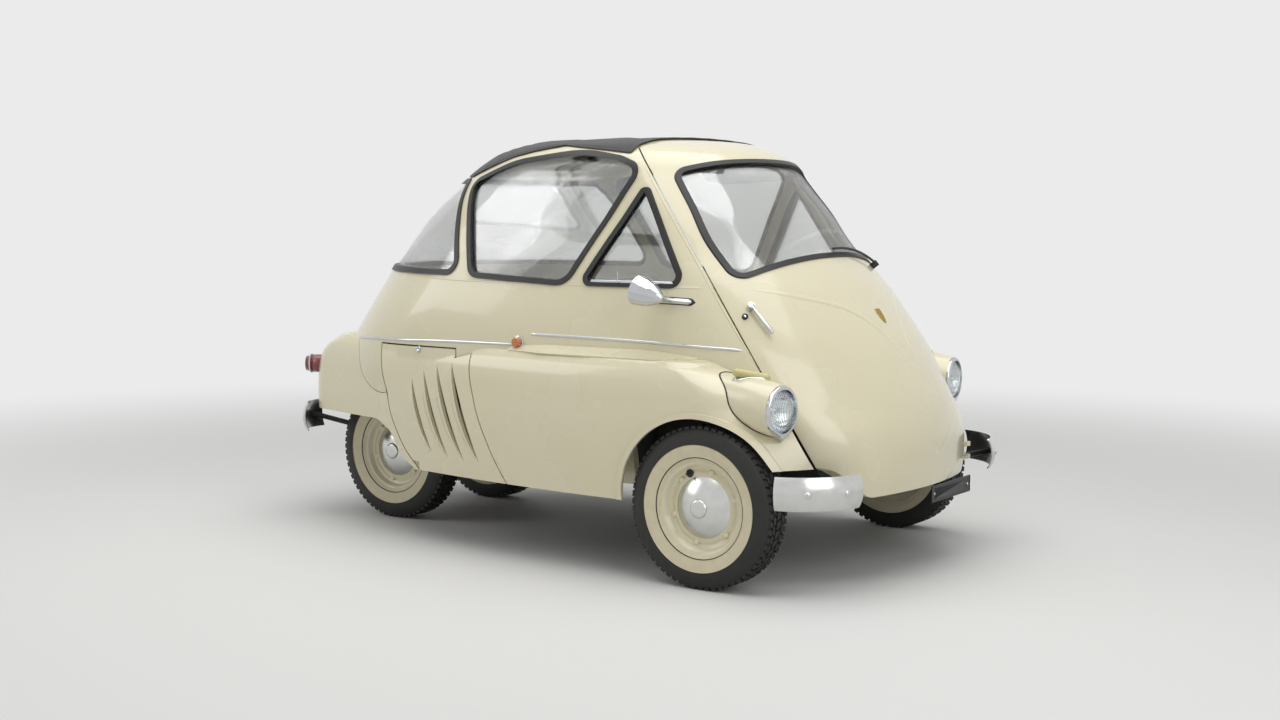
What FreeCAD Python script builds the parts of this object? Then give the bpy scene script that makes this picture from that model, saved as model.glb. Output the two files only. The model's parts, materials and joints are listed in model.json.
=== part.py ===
import FreeCAD, Part
import math
import os

# A four-wheeled bubble car: an egg-shaped cabin between two long wings, a single door that is
# the whole front, a roll-up fabric roof and a rear axle much narrower than the front one.
# Millimetres. +X forward, +Y to the car's left, +Z up. The origin is on the ground under the
# middle of the car's box. Lengths along the car are written ahead of the front axle.

Vector = FreeCAD.Vector
UP = Vector(0, 0, 1)
ALONG = Vector(1, 0, 0)
ACROSS = Vector(0, 1, 0)
SIDES = (("right", -1), ("left", 1))

# ---- Driving sizes ----
overall_length = 2275.0
wheelbase = 1500.0
front_overhang = 430.0
front_track = 1200.0
rear_track = 510.0
cabin_wall = 26.0
door_wall = 30.0
wing_wall = 8.0
seam_gap = 6.0

front_axle_x = overall_length / 2 - front_overhang
rear_axle_x = front_axle_x - wheelbase

# Tyres 4.50-10 on pressed steel wheels.
tyre_radius = 236.0
tyre_width = 116.0
rim_flange_radius = 145.0
rim_width = 84.0
bead_seat_radius = 127.0
rim_wall = 4.0
axle_z = tyre_radius

# Clearances
fit_gap = 0.3
running_gap = 0.05
moving_gap = 5.0

# Cabin, as plan outlines at rising heights. Columns: height, nose (foremost point), nose_r (nose
# arc), corner_r, half (half width), side_x (where it is widest), side_r (side arc), tail, tail_r
# and tail_corner_r. Places along X are ahead of the front axle.
COLUMNS = ("height", "nose", "nose_r", "corner_r", "half", "side_x", "side_r",
           "tail", "tail_r", "tail_corner_r")
CABIN_LEVELS = (
    (235, 404, 1160, 240, 540, -700, 5000, -1745, 480, 660),
    (300, 423, 1080, 240, 556, -720, 5000, -1775, 490, 660),
    (366, 430, 960, 250, 570, -740, 5000, -1793, 500, 660),
    (440, 427, 810, 270, 582, -760, 5000, -1802, 510, 660),
    (515, 405, 670, 290, 592, -780, 5000, -1802, 520, 660),
    (600, 362, 650, 300, 600, -800, 5000, -1782, 530, 660),
    (690, 305, 650, 310, 596, -840, 5500, -1724, 535, 660),
    (770, 244, 650, 300, 584, -870, 6000, -1662, 535, 650),
    (855, 172, 650, 270, 563, -850, 6000, -1600, 520, 640),
    (940, 88, 650, 216, 538, -740, 5500, -1534, 500, 610),
    (1036, 9, 650, 165, 506, -640, 4500, -1452, 475, 570),
    (1126, -68, 640, 125, 482, -580, 3400, -1345, 455, 540),
    (1187, -120, 620, 110, 464, -555, 2800, -1260, 438, 520),
    (1232, -160, 600, 100, 442, -545, 2500, -1190, 415, 490),
    (1264, -205, 560, 100, 408, -550, 2200, -1128, 383, 450),
    (1287, -262, 480, 95, 350, -565, 1900, -1055, 325, 390),
    (1301, -336, 360, 80, 262, -585, 1500, -980, 240, 300),
    (1308, -430, 240, 60, 165, -610, 1000, -893, 148, 200),
)
# Lower body, the two wings and the tail, in the same columns.
WING_LEVELS = (
    (235, 404, 1160, 130, 650, -250, 4900, -1790, 1500, 110),
    (300, 423, 1080, 140, 660, -250, 4900, -1806, 1500, 115),
    (366, 430, 960, 150, 667, -250, 4900, -1815, 1500, 120),
    (440, 422, 860, 150, 670, -250, 4900, -1820, 1500, 125),
    (515, 345, 900, 130, 668, -250, 4900, -1818, 1500, 130),
    (570, 285, 1000, 120, 664, -250, 4900, -1804, 1500, 130),
    (606, 225, 1000, 110, 656, -250, 4900, -1776, 1500, 130),
    (632, 160, 1000, 100, 644, -250, 4900, -1734, 1500, 130),
    (650, 70, 1000, 90, 626, -250, 4900, -1674, 1500, 130),
    (661, -60, 1000, 80, 600, -250, 4900, -1594, 1500, 125),
)


def ahead(distance):
    """The X of a place given ahead of the front axle."""
    return front_axle_x + distance


def at(x, y, z):
    """Point from a place ahead of the front axle, across and up."""
    return Vector(ahead(x), y, z)


def tangent_centre(side, side_r, end, end_r, radius, direction):
    """Centre of the corner circle that joins the side arc to the nose or tail arc smoothly."""
    first, first_r, second, second_r = side, side_r, end, end_r
    if end_r < radius:
        direction = -direction
    a = first_r - radius
    b = second_r - radius
    dx = second[0] - first[0]
    dy = second[1] - first[1]
    span = math.hypot(dx, dy)
    along = (a * a - b * b + span * span) / (2 * span)
    aside = math.sqrt(a * a - along * along)
    choices = []
    for sign in (-1, 1):
        choices.append((first[0] + (dx * along - sign * dy * aside) / span,
                        first[1] + (dy * along + sign * dx * aside) / span))
    return max(choices, key=lambda point: direction * point[0])


def plan_wire(row, height, inset):
    """Closed plan outline of eight tangent arcs, moved inwards by inset."""
    level = dict(zip(COLUMNS, row))
    nose = (ahead(level["nose"]) - level["nose_r"], 0.0)
    side = (ahead(level["side_x"]), level["half"] - level["side_r"])
    tail = (ahead(level["tail"]) + level["tail_r"], 0.0)
    corner = tangent_centre(side, level["side_r"], nose, level["nose_r"], level["corner_r"], 1)
    rear = tangent_centre(side, level["side_r"], tail, level["tail_r"], level["tail_corner_r"], -1)

    def heading(first, first_r, second, second_r):
        large, small = (first, second) if first_r > second_r else (second, first)
        return math.atan2(small[1] - large[1], small[0] - large[0])

    turns = (heading(nose, level["nose_r"], corner, level["corner_r"]),
             heading(side, level["side_r"], corner, level["corner_r"]),
             heading(side, level["side_r"], rear, level["tail_corner_r"]),
             heading(tail, level["tail_r"], rear, level["tail_corner_r"]))
    arcs = [
        (nose, level["nose_r"], -turns[0], turns[0]),
        (corner, level["corner_r"], turns[0], turns[1]),
        (side, level["side_r"], turns[1], turns[2]),
        (rear, level["tail_corner_r"], turns[2], turns[3]),
        (tail, level["tail_r"], turns[3], 2 * math.pi - turns[3]),
    ]
    for centre, radius, start, end in (arcs[3], arcs[2], arcs[1]):
        arcs.append(((centre[0], -centre[1]), radius, 2 * math.pi - end, 2 * math.pi - start))
    edges = []
    for centre, radius, start, end in arcs:
        points = []
        for angle in (start, (start + end) / 2, end):
            points.append(Vector(centre[0] + (radius - inset) * math.cos(angle),
                                 centre[1] + (radius - inset) * math.sin(angle), height))
        edges.append(Part.Arc(*points).toShape())
    return Part.Wire(edges)


def level_slope(levels, index):
    """How fast the half width grows with height at one level."""
    low = levels[max(index - 1, 0)]
    high = levels[min(index + 1, len(levels) - 1)]
    half = COLUMNS.index("half")
    return (high[half] - low[half]) / (high[0] - low[0])


def body_form(levels, inset, floor_drop=0.0):
    """Solid inside the surface that lies inset below the skin, square to it."""
    wires = []
    for index, row in enumerate(levels):
        slope = level_slope(levels, index)
        steep = math.sqrt(1 + slope * slope)
        height = row[0] + inset * min(slope, 0) / steep
        if index == 0:
            height = row[0] - floor_drop
        wires.append(plan_wire(row, height, inset / steep))
    return Part.makeLoft(wires, True, False)


def rounded_edges(corners, inset=0.0):
    """Corner list (u, v, radius) to tangent lines and arcs, moved inwards by inset."""
    count = len(corners)
    area = 0.0
    for index in range(count):
        here = corners[index]
        after = corners[(index + 1) % count]
        area += here[0] * after[1] - after[0] * here[1]
    turn = 1 if area > 0 else -1
    lines = []
    for index in range(count):
        here = corners[index]
        after = corners[(index + 1) % count]
        length = math.hypot(after[0] - here[0], after[1] - here[1])
        du = (after[0] - here[0]) / length
        dv = (after[1] - here[1]) / length
        lines.append((here[0] - turn * dv * inset, here[1] + turn * du * inset, du, dv))
    rounded = []
    for index in range(count):
        u1, v1, du1, dv1 = lines[index - 1]
        u2, v2, du2, dv2 = lines[index]
        cross = du1 * dv2 - dv1 * du2
        reach = ((u2 - u1) * dv2 - (v2 - v1) * du2) / cross
        corner = (u1 + du1 * reach, v1 + dv1 * reach)
        radius = max(corners[index][2] - inset * (1 if cross * turn > 0 else -1), 0.5)
        bend = math.acos(max(-1.0, min(1.0, du1 * du2 + dv1 * dv2)))
        cut = radius * math.tan(bend / 2)
        start = (corner[0] - du1 * cut, corner[1] - dv1 * cut)
        end = (corner[0] + du2 * cut, corner[1] + dv2 * cut)
        side = 1 if cross > 0 else -1
        centre = (start[0] - side * dv1 * radius, start[1] + side * du1 * radius)
        middle = (corner[0] - centre[0], corner[1] - centre[1])
        reach = math.hypot(*middle)
        middle = (centre[0] + middle[0] * radius / reach, centre[1] + middle[1] * radius / reach)
        rounded.append((start, middle, end))
    return rounded


def rounded_face(corners, place, inset=0.0):
    """Flat face from a corner list; place turns (u, v) into a point in space."""
    arcs = rounded_edges(corners, inset)
    edges = []
    for index, (start, middle, end) in enumerate(arcs):
        edges.append(Part.Arc(place(*start), place(*middle), place(*end)).toShape())
        following = place(*arcs[(index + 1) % len(arcs)][0])
        if place(*end).distanceToPoint(following) > 0.01:
            edges.append(Part.LineSegment(place(*end), following).toShape())
    return Part.Face(Part.Wire(edges))


def side_prism(corners, low_y, high_y, inset=0.0):
    """Side-view outline (ahead, height, radius), extruded across the car."""
    face = rounded_face(corners, lambda u, v: Vector(ahead(u), low_y, v), inset)
    return face.extrude(Vector(0, high_y - low_y, 0))


def plan_prism(corners, low_z, high_z, inset=0.0):
    """Plan outline (ahead, y, radius), extruded upwards."""
    face = rounded_face(corners, lambda u, v: Vector(ahead(u), v, low_z), inset)
    return face.extrude(Vector(0, 0, high_z - low_z))


def box(low, high):
    """Box from corner to corner; X is ahead of the front axle."""
    size = [high[index] - low[index] for index in range(3)]
    return Part.makeBox(size[0], size[1], size[2], Vector(ahead(low[0]), low[1], low[2]))


def rod(start, end, radius, bore=0.0):
    """Round bar or tube between two points; X is ahead of the front axle."""
    first = Vector(ahead(start[0]), start[1], start[2])
    axis = Vector(ahead(end[0]), end[1], end[2]) - first
    bar = Part.makeCylinder(radius, axis.Length, first, axis)
    if bore:
        bar = bar.cut(Part.makeCylinder(bore, axis.Length, first, axis))
    return bar


def fuse(shapes):
    """One solid from pieces that overlap or touch."""
    result = shapes[0].fuse(shapes[1:]) if len(shapes) > 1 else shapes[0]
    return result.removeSplitter()


def cut_each(shape, tools):
    """Cut by one tool after another, and drop crumbs under a cubic centimetre."""
    for tool in tools:
        shape = shape.cut(tool)
    kept = [solid for solid in shape.Solids if solid.Volume > 1000]
    return kept[0] if len(kept) == 1 else Part.Compound(kept)


def largest(shape):
    """The biggest solid of a shape."""
    return max(shape.Solids, key=lambda solid: solid.Volume)


def mirrored(shape):
    """The same shape on the car's other side."""
    return shape.mirror(Vector(0, 0, 0), ACROSS)


def revolved(profile, centre, axis, radial):
    """Closed profile of (along the axis, radius) points, turned about the axis."""
    points = [centre + axis * along + radial * radius for along, radius in profile]
    wire = Part.makePolygon(points + [points[0]])
    return Part.Face(wire).revolve(centre, axis, 360)


def spun(corners, centre, axis, radial):
    """Profile of (along the axis, radius, corner radius), turned about the axis."""
    face = rounded_face(corners, lambda along, radius: centre + axis * along + radial * radius)
    return face.revolve(centre, axis, 360)


def dome(radius, height, wall, foot, axis):
    """Hollow spherical cap standing on the plane at foot."""
    caps = []
    for rim, rise in ((radius, height), (radius - wall, height - wall)):
        ball = (rim * rim + rise * rise) / (2 * rise)
        sphere = Part.makeSphere(ball, foot + axis * (rise - ball))
        caps.append(sphere.common(Part.makeCylinder(radius + 5, height + 5, foot, axis)))
    return caps[0].cut(caps[1])


parts = {}

# ---- Cabin, door and wings: the skins ----
cabin_skin = body_form(CABIN_LEVELS, 0.0)
cabin_inside = body_form(CABIN_LEVELS, cabin_wall, 5.0)
door_inside = body_form(CABIN_LEVELS, door_wall, 5.0)
wing_skin = body_form(WING_LEVELS, 0.0)
wing_inside = body_form(WING_LEVELS, wing_wall, 5.0)

# The door seam is a straight line in side view, leaning back as it rises, and its faces are
# bevelled so that the hinged edge can swing inwards past the cabin wall.
seam_low = (332.0, 339.0)
seam_lean = 0.755
seam_bevel = math.radians(30)
seam_outer_y = 596.0
seam_outer_slope = 0.1324
door_bottom = 258.0
far = 900.0


def ahead_of_seam(shift):
    """Everything in front of the door seam, its face moved forward by shift."""
    top = 1500.0
    bevel = math.tan(seam_bevel)
    # On the middle plane the bevelled faces stand further back than they do on the skin.
    low = seam_low[0] + seam_lean * seam_low[1] + shift - seam_outer_y * bevel
    high = low - seam_lean * top + seam_outer_slope * top * bevel
    spread = 700.0
    halves = []
    for side in (-1, 1):
        corners = [at(low, 0, 0), at(high, 0, top), at(far, 0, top), at(far, 0, 0)]
        face = Part.Face(Part.makePolygon(corners + [corners[0]]))
        halves.append(face.extrude(Vector(spread * bevel, side * spread, 0)))
    return halves[0].fuse(halves[1])


# Over the roof the seam runs straight across, so that the body keeps a header in front of the
# fabric.
header_x = -400.0
header_zones = [box((-900, -700, 1150), (header_x + shift, 700, 1500))
                for shift in (seam_gap / 2, -seam_gap / 2)]
door_zone = ahead_of_seam(seam_gap / 2).cut(header_zones[0])
body_zone_cut = ahead_of_seam(-seam_gap / 2).cut(header_zones[1])

# ---- Windows. Side-view outlines of the rubber's outer edge: ahead, height, corner radius ----
seal_width = 17.0
seal_proud = 5.0
seal_depth = 22.0
glass_wall = 5.0
glass_sunk = 6.0
glass_grip = 8.0
SIDE_WINDOW = ((-1044, 1176, 38), (-850, 1240, 500), (-590, 1272, 500), (-430, 1248, 150),
               (-332, 1214, 42), (-545, 850, 75), (-930, 868, 48))
QUARTER_WINDOW = ((-314, 1170, 20), (-506, 853, 25), (-126, 853, 35))
REAR_WINDOW = ((-968, 872, 45), (-1082, 1184, 20), (-1750, 1184, 5), (-1750, 878, 5))
# Outline on the sloping windscreen plane: across, up the slope, corner radius.
WINDSCREEN = ((-440, -174, 50), (0, -186, 3000), (440, -174, 50), (437, 20, 700),
              (396, 246, 42), (0, 200, 1500), (-396, 246, 42), (-437, 20, 700))
screen_middle = Vector(ahead(-30), 0, 1082)
screen_up = Vector(-0.639, 0, 0.771)
screen_out = Vector(0.771, 0, 0.639)


def windscreen_prism(inset=0.0):
    """The windscreen outline, extruded square to its slope."""
    behind = screen_middle - screen_out * 330
    face = rounded_face(WINDSCREEN, lambda u, v: behind + ACROSS * u + screen_up * v, inset)
    return face.extrude(screen_out * 700)


def skin_band(outer, inner):
    """The layer of the cabin's surface between two depths below the skin."""
    return body_form(CABIN_LEVELS, outer).cut(body_form(CABIN_LEVELS, inner, 5.0))


def window_pieces(prism):
    """Rubber frame and the pane that sits in its groove, for one window outline."""
    pane = glass_band.common(prism(seal_width - glass_grip))
    frame = seal_band.common(prism(0.3)).cut(prism(seal_width)).cut(pane)
    return frame, pane


def side_window_prism(outline):
    """A prism maker for a window in the right-hand wall."""
    return lambda inset=0.0: side_prism(outline, -800, 0, inset)


def rear_window_prism(inset=0.0):
    """The window that wraps round the tail from one pillar to the other."""
    return side_prism(REAR_WINDOW, -800, 800, inset)


glass_band = skin_band(glass_sunk, glass_sunk + glass_wall)
seal_band = skin_band(-seal_proud, seal_depth)
side_window = side_window_prism(SIDE_WINDOW)
quarter_window = side_window_prism(QUARTER_WINDOW)
side_seal, side_pane = window_pieces(side_window)
quarter_seal, quarter_pane = window_pieces(quarter_window)
rear_seal, rear_pane = window_pieces(rear_window_prism)
screen_seal, screen_pane = window_pieces(windscreen_prism)
parts["window_seals"] = Part.Compound([side_seal, mirrored(side_seal), quarter_seal,
                                       mirrored(quarter_seal), rear_seal])
parts["side_windows"] = Part.Compound([side_pane, mirrored(side_pane)])
parts["quarter_windows"] = Part.Compound([quarter_pane, mirrored(quarter_pane)])
parts["rear_window"] = rear_pane
parts["windscreen_seal"] = screen_seal
parts["windscreen"] = screen_pane

# ---- Roof opening and its fabric ----
canvas_wall = 12.0
canvas_lift = 0.4
ROOF_OPENING = ((-440, 310, 60), (-1080, 280, 60), (-1080, -280, 60), (-440, -310, 60))
CANVAS_SIDE = ((-404, 1256, 6), (-404, 1400, 5), (-1500, 1400, 5), (-1500, 1190, 5),
               (-1086, 1190, 8), (-870, 1252, 300), (-690, 1284, 300))
roof_hole = plan_prism(ROOF_OPENING, 1150, 1400)
parts["canvas_roof"] = skin_band(-canvas_lift - canvas_wall, -canvas_lift).common(
    side_prism(CANVAS_SIDE, -700, 700))

# ---- Cabin shell, made as its right half ----
arch_centre = (-10.0, 236.0)
arch_radius = 258.0
house_inner_y = 415.0
house_rear_x = -300.0
house_top_z = 560.0
rear_floor_z = 618.0
sill_z = 262.0
bulkhead_x = -950.0
right_half = box((-2200, -900, 0), (900, 0, 1500))
half_shell = cabin_skin.cut(cabin_inside).common(right_half)
# Room for the steered front wheel, the rear wheel and the engine under the rear floor.
cabin_cuts = [
    body_zone_cut,
    roof_hole,
    side_window(),
    quarter_window(),
    rear_window_prism(),
    box((house_rear_x, -800, 100), (600, -house_inner_y, house_top_z)),
    box((-2000, -800, 100), (bulkhead_x, 10, rear_floor_z)).common(wing_skin),
    box((-2000, -800, 100), (600, 10, sill_z)),
]
half_shell = largest(cut_each(half_shell, cabin_cuts))
cabin_shell = fuse([half_shell, mirrored(half_shell)])

# ---- Wings and tail, made as the right half ----
arch_lip = 16.0
arch_lip_proud = 6.0
nose_edge_z = 357.0
cover_gap = 5.0
# Side-view seams of the engine cover, from the top down: ahead, height, corner radius.
FRONT_SEAM = ((-888, 700, 2), (-878, 570, 400), (-836, 440, 500), (-770, 310, 400), (-700, 200, 2))
REAR_SEAM = ((-1300, 700, 2), (-1302, 545, 300), (-1270, 410, 300), (-1205, 300, 300), (-1090, 190, 2))
REAR_ARCH = ((-1150, 150, 5), (-1160, 238, 20), (-1225, 270, 60), (-1272, 350, 60), (-1345, 386, 60),
             (-1900, 386, 5), (-1900, 150, 5))
clear_of_cabin = body_form(CABIN_LEVELS, -fit_gap)
arch_line = ((arch_centre[0], -900, arch_centre[1]), (arch_centre[0], 0, arch_centre[1]))
whole_wing = wing_skin.cut(wing_inside).common(right_half)
half_wing = whole_wing.cut(clear_of_cabin)
lip_zone = rod(arch_line[0], arch_line[1], arch_radius + arch_lip, arch_radius)
lip = body_form(WING_LEVELS, -arch_lip_proud).cut(wing_inside).common(lip_zone).cut(clear_of_cabin)
wing_cuts = [
    rod(arch_line[0], arch_line[1], arch_radius),
    body_zone_cut,
    box((0, -800, 100), (600, 10, nose_edge_z)),
    side_prism(REAR_ARCH, -800, 10),
]
half_wing = cut_each(half_wing, wing_cuts)
lip = cut_each(lip, wing_cuts[1:])
NOSE_END = ((600, 200, 2), (600, 700, 2))
TAIL_END = ((-2000, 200, 2), (-2000, 700, 2))
wing_front = half_wing.common(side_prism(FRONT_SEAM + NOSE_END, -800, 0, cover_gap / 2))
parts["wing_right"] = wing_front.fuse(lip)
# Behind the bulkhead the cover reaches up over the cabin's side, as a cheek above the louvres.
cover_top_z = 640.0
cheek_front_x = bulkhead_x - moving_gap
cover_outline = FRONT_SEAM + REAR_SEAM[::-1]
cover_zone = side_prism(cover_outline, -800, 0, cover_gap / 2)
cabin_depth = body_form(CABIN_LEVELS, wing_wall, 5.0)
behind = box((-2000, -800, 100), (cheek_front_x, 0, cover_top_z))
in_front = box((cheek_front_x, -800, 100), (600, 0, 900))
cover = whole_wing.common(cover_zone).cut(side_prism(REAR_ARCH, -800, 10)).cut(cabin_depth)
cover_front = half_wing.common(cover_zone).common(in_front).cut(body_form(CABIN_LEVELS, -moving_gap))
cheek = cabin_skin.cut(cabin_depth).common(cover_zone).cut(wing_inside).common(behind)
cover = cover.common(behind).fuse(cover_front).fuse(cheek).removeSplitter()
# A notch at its lower rear corner lets it swing past the tail.
cover_notch = box((-1200, -800, 200), (-1134, 0, 264))
cover = cover.cut(cover_notch)
cover_room = side_prism(cover_outline, -800, 0, -cover_gap / 2).common(
    box((-2000, -800, 100), (bulkhead_x, 0, cover_top_z + moving_gap)))
parts["cabin_shell"] = largest(cabin_shell.cut(cover_room))
# Four tall slots, each a crescent between two arcs. Columns: top, middle and bottom as
# (ahead, height), and the width at the middle.
LOUVRES = (
    ((-1153, 536), (-1117, 420), (-1060, 302), 10),
    ((-1093, 566), (-1048, 430), (-982, 294), 12),
    ((-1031, 589), (-980, 440), (-906, 289), 14),
    ((-961, 600), (-910, 445), (-837, 290), 18),
)
slots = []
for top, middle, bottom, width in LOUVRES:
    start = at(top[0], -800, top[1])
    end = at(bottom[0], -800, bottom[1])
    rear = Part.Arc(start, at(middle[0] - width / 2, -800, middle[1]), end).toShape()
    front = Part.Arc(end, at(middle[0] + width / 2, -800, middle[1]), start).toShape()
    slots.append(Part.Face(Part.Wire([rear, front])).extrude(ACROSS * 400))
cover = cut_each(cover, slots)
tail_right = half_wing.common(side_prism(REAR_SEAM + TAIL_END, -800, 0, cover_gap / 2))
tail_left = mirrored(half_wing.common(side_prism(REAR_SEAM + TAIL_END, -800, 0)))
parts["wing_left"] = mirrored(half_wing.common(side_prism(REAR_SEAM + NOSE_END, -800, 0))).fuse(
    mirrored(lip))
parts["tail_panel"] = fuse([tail_right, tail_left])

# ---- Front door ----
# Its lower corners are cut away where the bumpers stand in front of them.
DOOR_FRONT = ((-700, 1500, 5), (-700, 352, 5), (-428, 352, 60), (-322, door_bottom, 60),
              (322, door_bottom, 60), (428, 352, 60), (700, 352, 5), (700, 1500, 5))
door_front = rounded_face(DOOR_FRONT, lambda u, v: Vector(ahead(-700), u, v))
door_front = door_front.extrude(Vector(1300, 0, 0))
door = cabin_skin.cut(door_inside).common(door_zone).common(door_front)
door = cut_each(door, [windscreen_prism()])

# Hinges at the lower left corner: two straps on the door between arms on the body, one pin.
hinge_x = 340.0
hinge_y = 420.0
hinge_pin_radius = 8.0
hinge_barrel_radius = 13.0
STRAPS = ((334, 340, 286, 299), (330, 375, 326, 339))
ARMS = ((268, 281), (304, 321))
arm_width = 18.0
hinge_axis = ((hinge_x, hinge_y, 268), (hinge_x, hinge_y, 346))
hinge_bore = rod(hinge_axis[0], hinge_axis[1], hinge_pin_radius + running_gap)
straps = []
for rear, inner, low, high in STRAPS:
    straps.append(box((rear, inner, low), (rear + 18, hinge_y, high)))
    straps.append(rod((hinge_x, hinge_y, low), (hinge_x, hinge_y, high), hinge_barrel_radius))
parts["front_door"] = fuse([door] + straps).cut(hinge_bore)

# ---- Floor pan, front wheelhouses and bulkhead, one pressing ----
sheet = 4.0
rail_height = 40.0
axle_tube_radius = 25.0
rail_low = axle_z + axle_tube_radius + fit_gap
rail_high = rail_low + rail_height
floor_z = rail_high + fit_gap
floor_front_x = 305.0
cabin_room = body_form(CABIN_LEVELS, cabin_wall + fit_gap, 5.0)
inner_y = house_inner_y - fit_gap
outer_reach = box((-2000, -800, 0), (house_rear_x - fit_gap, 800, 1500))
front_reach = box((-2000, -inner_y, 0), (floor_front_x, inner_y, 1500))
room = cabin_room.common(outer_reach.fuse(front_reach))
pan = room.common(box((bulkhead_x + fit_gap, -800, floor_z), (floor_front_x, 800, floor_z + sheet)))
bulkhead_low = bulkhead_x + fit_gap
bulkhead = room.common(box((bulkhead_low, -800, floor_z), (bulkhead_low + sheet, 800, rear_floor_z)))
shelf_z = rear_floor_z + fit_gap
shelf = cabin_room.common(box((-2000, -800, shelf_z), (bulkhead_low + sheet, 800, shelf_z + sheet)))
shelf_drop = room.common(box((bulkhead_low, -800, floor_z), (bulkhead_low + sheet, 800, shelf_z + 1)))
pan_pieces = [pan, bulkhead, shelf, shelf_drop]
for label, side in SIDES:
    wall = box((house_rear_x - sheet, inner_y - sheet, floor_z), (350, inner_y, house_top_z + sheet))
    back = box((house_rear_x - sheet, inner_y - sheet, floor_z),
               (house_rear_x - fit_gap, 800, house_top_z + sheet))
    roof = box((house_rear_x - sheet, inner_y - sheet, house_top_z + fit_gap),
               (350, 800, house_top_z + sheet))
    house = fuse([wall, cabin_room.common(back), cabin_room.common(roof)]).cut(body_zone_cut)
    pan_pieces.append(house if side > 0 else mirrored(house))
for low, high in ARMS:
    pan_pieces.append(box((hinge_x - arm_width, inner_y - sheet, low), (hinge_x, hinge_y + 9, high)))
    pan_pieces.append(rod((hinge_x, hinge_y, low), (hinge_x, hinge_y, high), hinge_barrel_radius))
pan_pieces.append(rod(hinge_axis[0], hinge_axis[1], hinge_pin_radius))
# The lower arm hangs from the wheelhouse wall.
pan_pieces.append(box((hinge_x - arm_width, inner_y - sheet, ARMS[0][0]), (hinge_x, inner_y, floor_z + 1)))
parts["floor_pan"] = largest(fuse(pan_pieces))

# ---- Chassis: two rails, cross members, bumper and plate brackets, axle bearings ----
rail_y = 150.0
rail_width = 60.0
chassis_front_x = 300.0
chassis_rear_x = -1750.0
rear_shaft_radius = 15.0
CROSS_MEMBERS = ((262, 398), (-240, 180), (-720, 400), (-1160, 180), (-1710, 180))
frame_pieces = []
for label, side in SIDES:
    low_y = side * rail_y - rail_width / 2
    frame_pieces.append(box((chassis_rear_x, low_y, rail_low),
                            (chassis_front_x, low_y + rail_width, rail_high)))
for x, reach in CROSS_MEMBERS:
    frame_pieces.append(box((x, -reach, rail_low), (x + 38, reach, rail_high)))

# Bumper blades are crowned strips turned about an upright axis. Columns: name, axis ahead of
# the front axle, axis off the middle, outer radius, start and end angle, low and high edge, and
# the bracket's foot (ahead, across) and the angle at which it meets the blade.
bumper_crown = 14.0
bumper_wall = 4.0
bracket_radius = 9.0
BUMPERS = (
    ("front_bumpers", 187, 424, 232.5, 6, 76, 253, 348, (285, 385), 34),
    ("rear_bumpers", -1690, 335, 155, 118, 190, 303, 400, (-1735, 165), 170),
)


def bumper_blade(row, outside, inside, spread):
    """The left blade of a bumper between two depths, spread degrees wider at each end."""
    name, x, y, radius, first, last, low, high = row[:8]
    middle = (low + high) / 2
    centre = at(x, y, 0)
    direction = Vector(math.cos(math.radians(first - spread)), math.sin(math.radians(first - spread)), 0)

    def place(reach, height):
        return centre + direction * reach + UP * height

    outer = Part.Arc(place(radius - bumper_crown - outside, low), place(radius - outside, middle),
                     place(radius - bumper_crown - outside, high)).toShape()
    inner = Part.Arc(place(radius - bumper_crown - inside, high), place(radius - inside, middle),
                     place(radius - bumper_crown - inside, low)).toShape()
    ends = [Part.LineSegment(outer.valueAt(outer.LastParameter), inner.valueAt(inner.FirstParameter)),
            Part.LineSegment(inner.valueAt(inner.LastParameter), outer.valueAt(outer.FirstParameter))]
    wire = Part.Wire([outer, ends[0].toShape(), inner, ends[1].toShape()])
    return Part.Face(wire).revolve(centre, UP, last - first + 2 * spread)


for row in BUMPERS:
    blade = bumper_blade(row, 0, bumper_wall, 0)
    parts[row[0]] = Part.Compound([mirrored(blade), blade])
    foot, meet = row[8:]
    reach = row[3] - 1.0
    tip = (row[1] + reach * math.cos(math.radians(meet)), row[2] + reach * math.sin(math.radians(meet)))
    bar = rod((foot[0], foot[1], rail_low + 20), (tip[0], tip[1], (row[6] + row[7]) / 2), bracket_radius)
    bar = bar.cut(bumper_blade(row, -30, bumper_wall + fit_gap, 5))
    frame_pieces.extend([bar, mirrored(bar)])

# Blank front plate on a strap under the door.
plate_x = 405.0
plate_low = (20.0, 200.0)
plate_high = (300.0, 252.0)
plate_wall = 2.0
plate_hole_radius = 2.6
plate_hole_spacing = (240.0, 32.0)
strap_z = plate_high[1] - 8
frame_pieces.append(box((chassis_front_x - 20, 135, strap_z), (chassis_front_x, 185, rail_low + 1)))
frame_pieces.append(box((chassis_front_x - 20, 135, strap_z), (plate_x, 185, strap_z + 5)))
plate = box((plate_x + fit_gap, plate_low[0], plate_low[1]),
            (plate_x + fit_gap + plate_wall, plate_high[0], plate_high[1]))
plate_middle = ((plate_low[0] + plate_high[0]) / 2, (plate_low[1] + plate_high[1]) / 2)
plate_holes = []
for dy in (-0.5, 0.5):
    for dz in (-0.5, 0.5):
        y = plate_middle[0] + dy * plate_hole_spacing[0]
        z = plate_middle[1] + dz * plate_hole_spacing[1]
        plate_holes.append(rod((plate_x - 1, y, z), (plate_x + 5, y, z), plate_hole_radius))
parts["front_plate"] = cut_each(plate, plate_holes)

# Bearings for the rear axle, under the rails.
for label, side in SIDES:
    y = side * rail_y
    housing = rod((-wheelbase, y - 30, axle_z), (-wheelbase, y + 30, axle_z), axle_tube_radius)
    saddle = box((-wheelbase - 25, y - 30, axle_z), (-wheelbase + 25, y + 30, rail_low + 1))
    bore = rod((-wheelbase, y - 31, axle_z), (-wheelbase, y + 31, axle_z),
               rear_shaft_radius + running_gap)
    frame_pieces.append(fuse([housing, saddle]).cut(bore))

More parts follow.
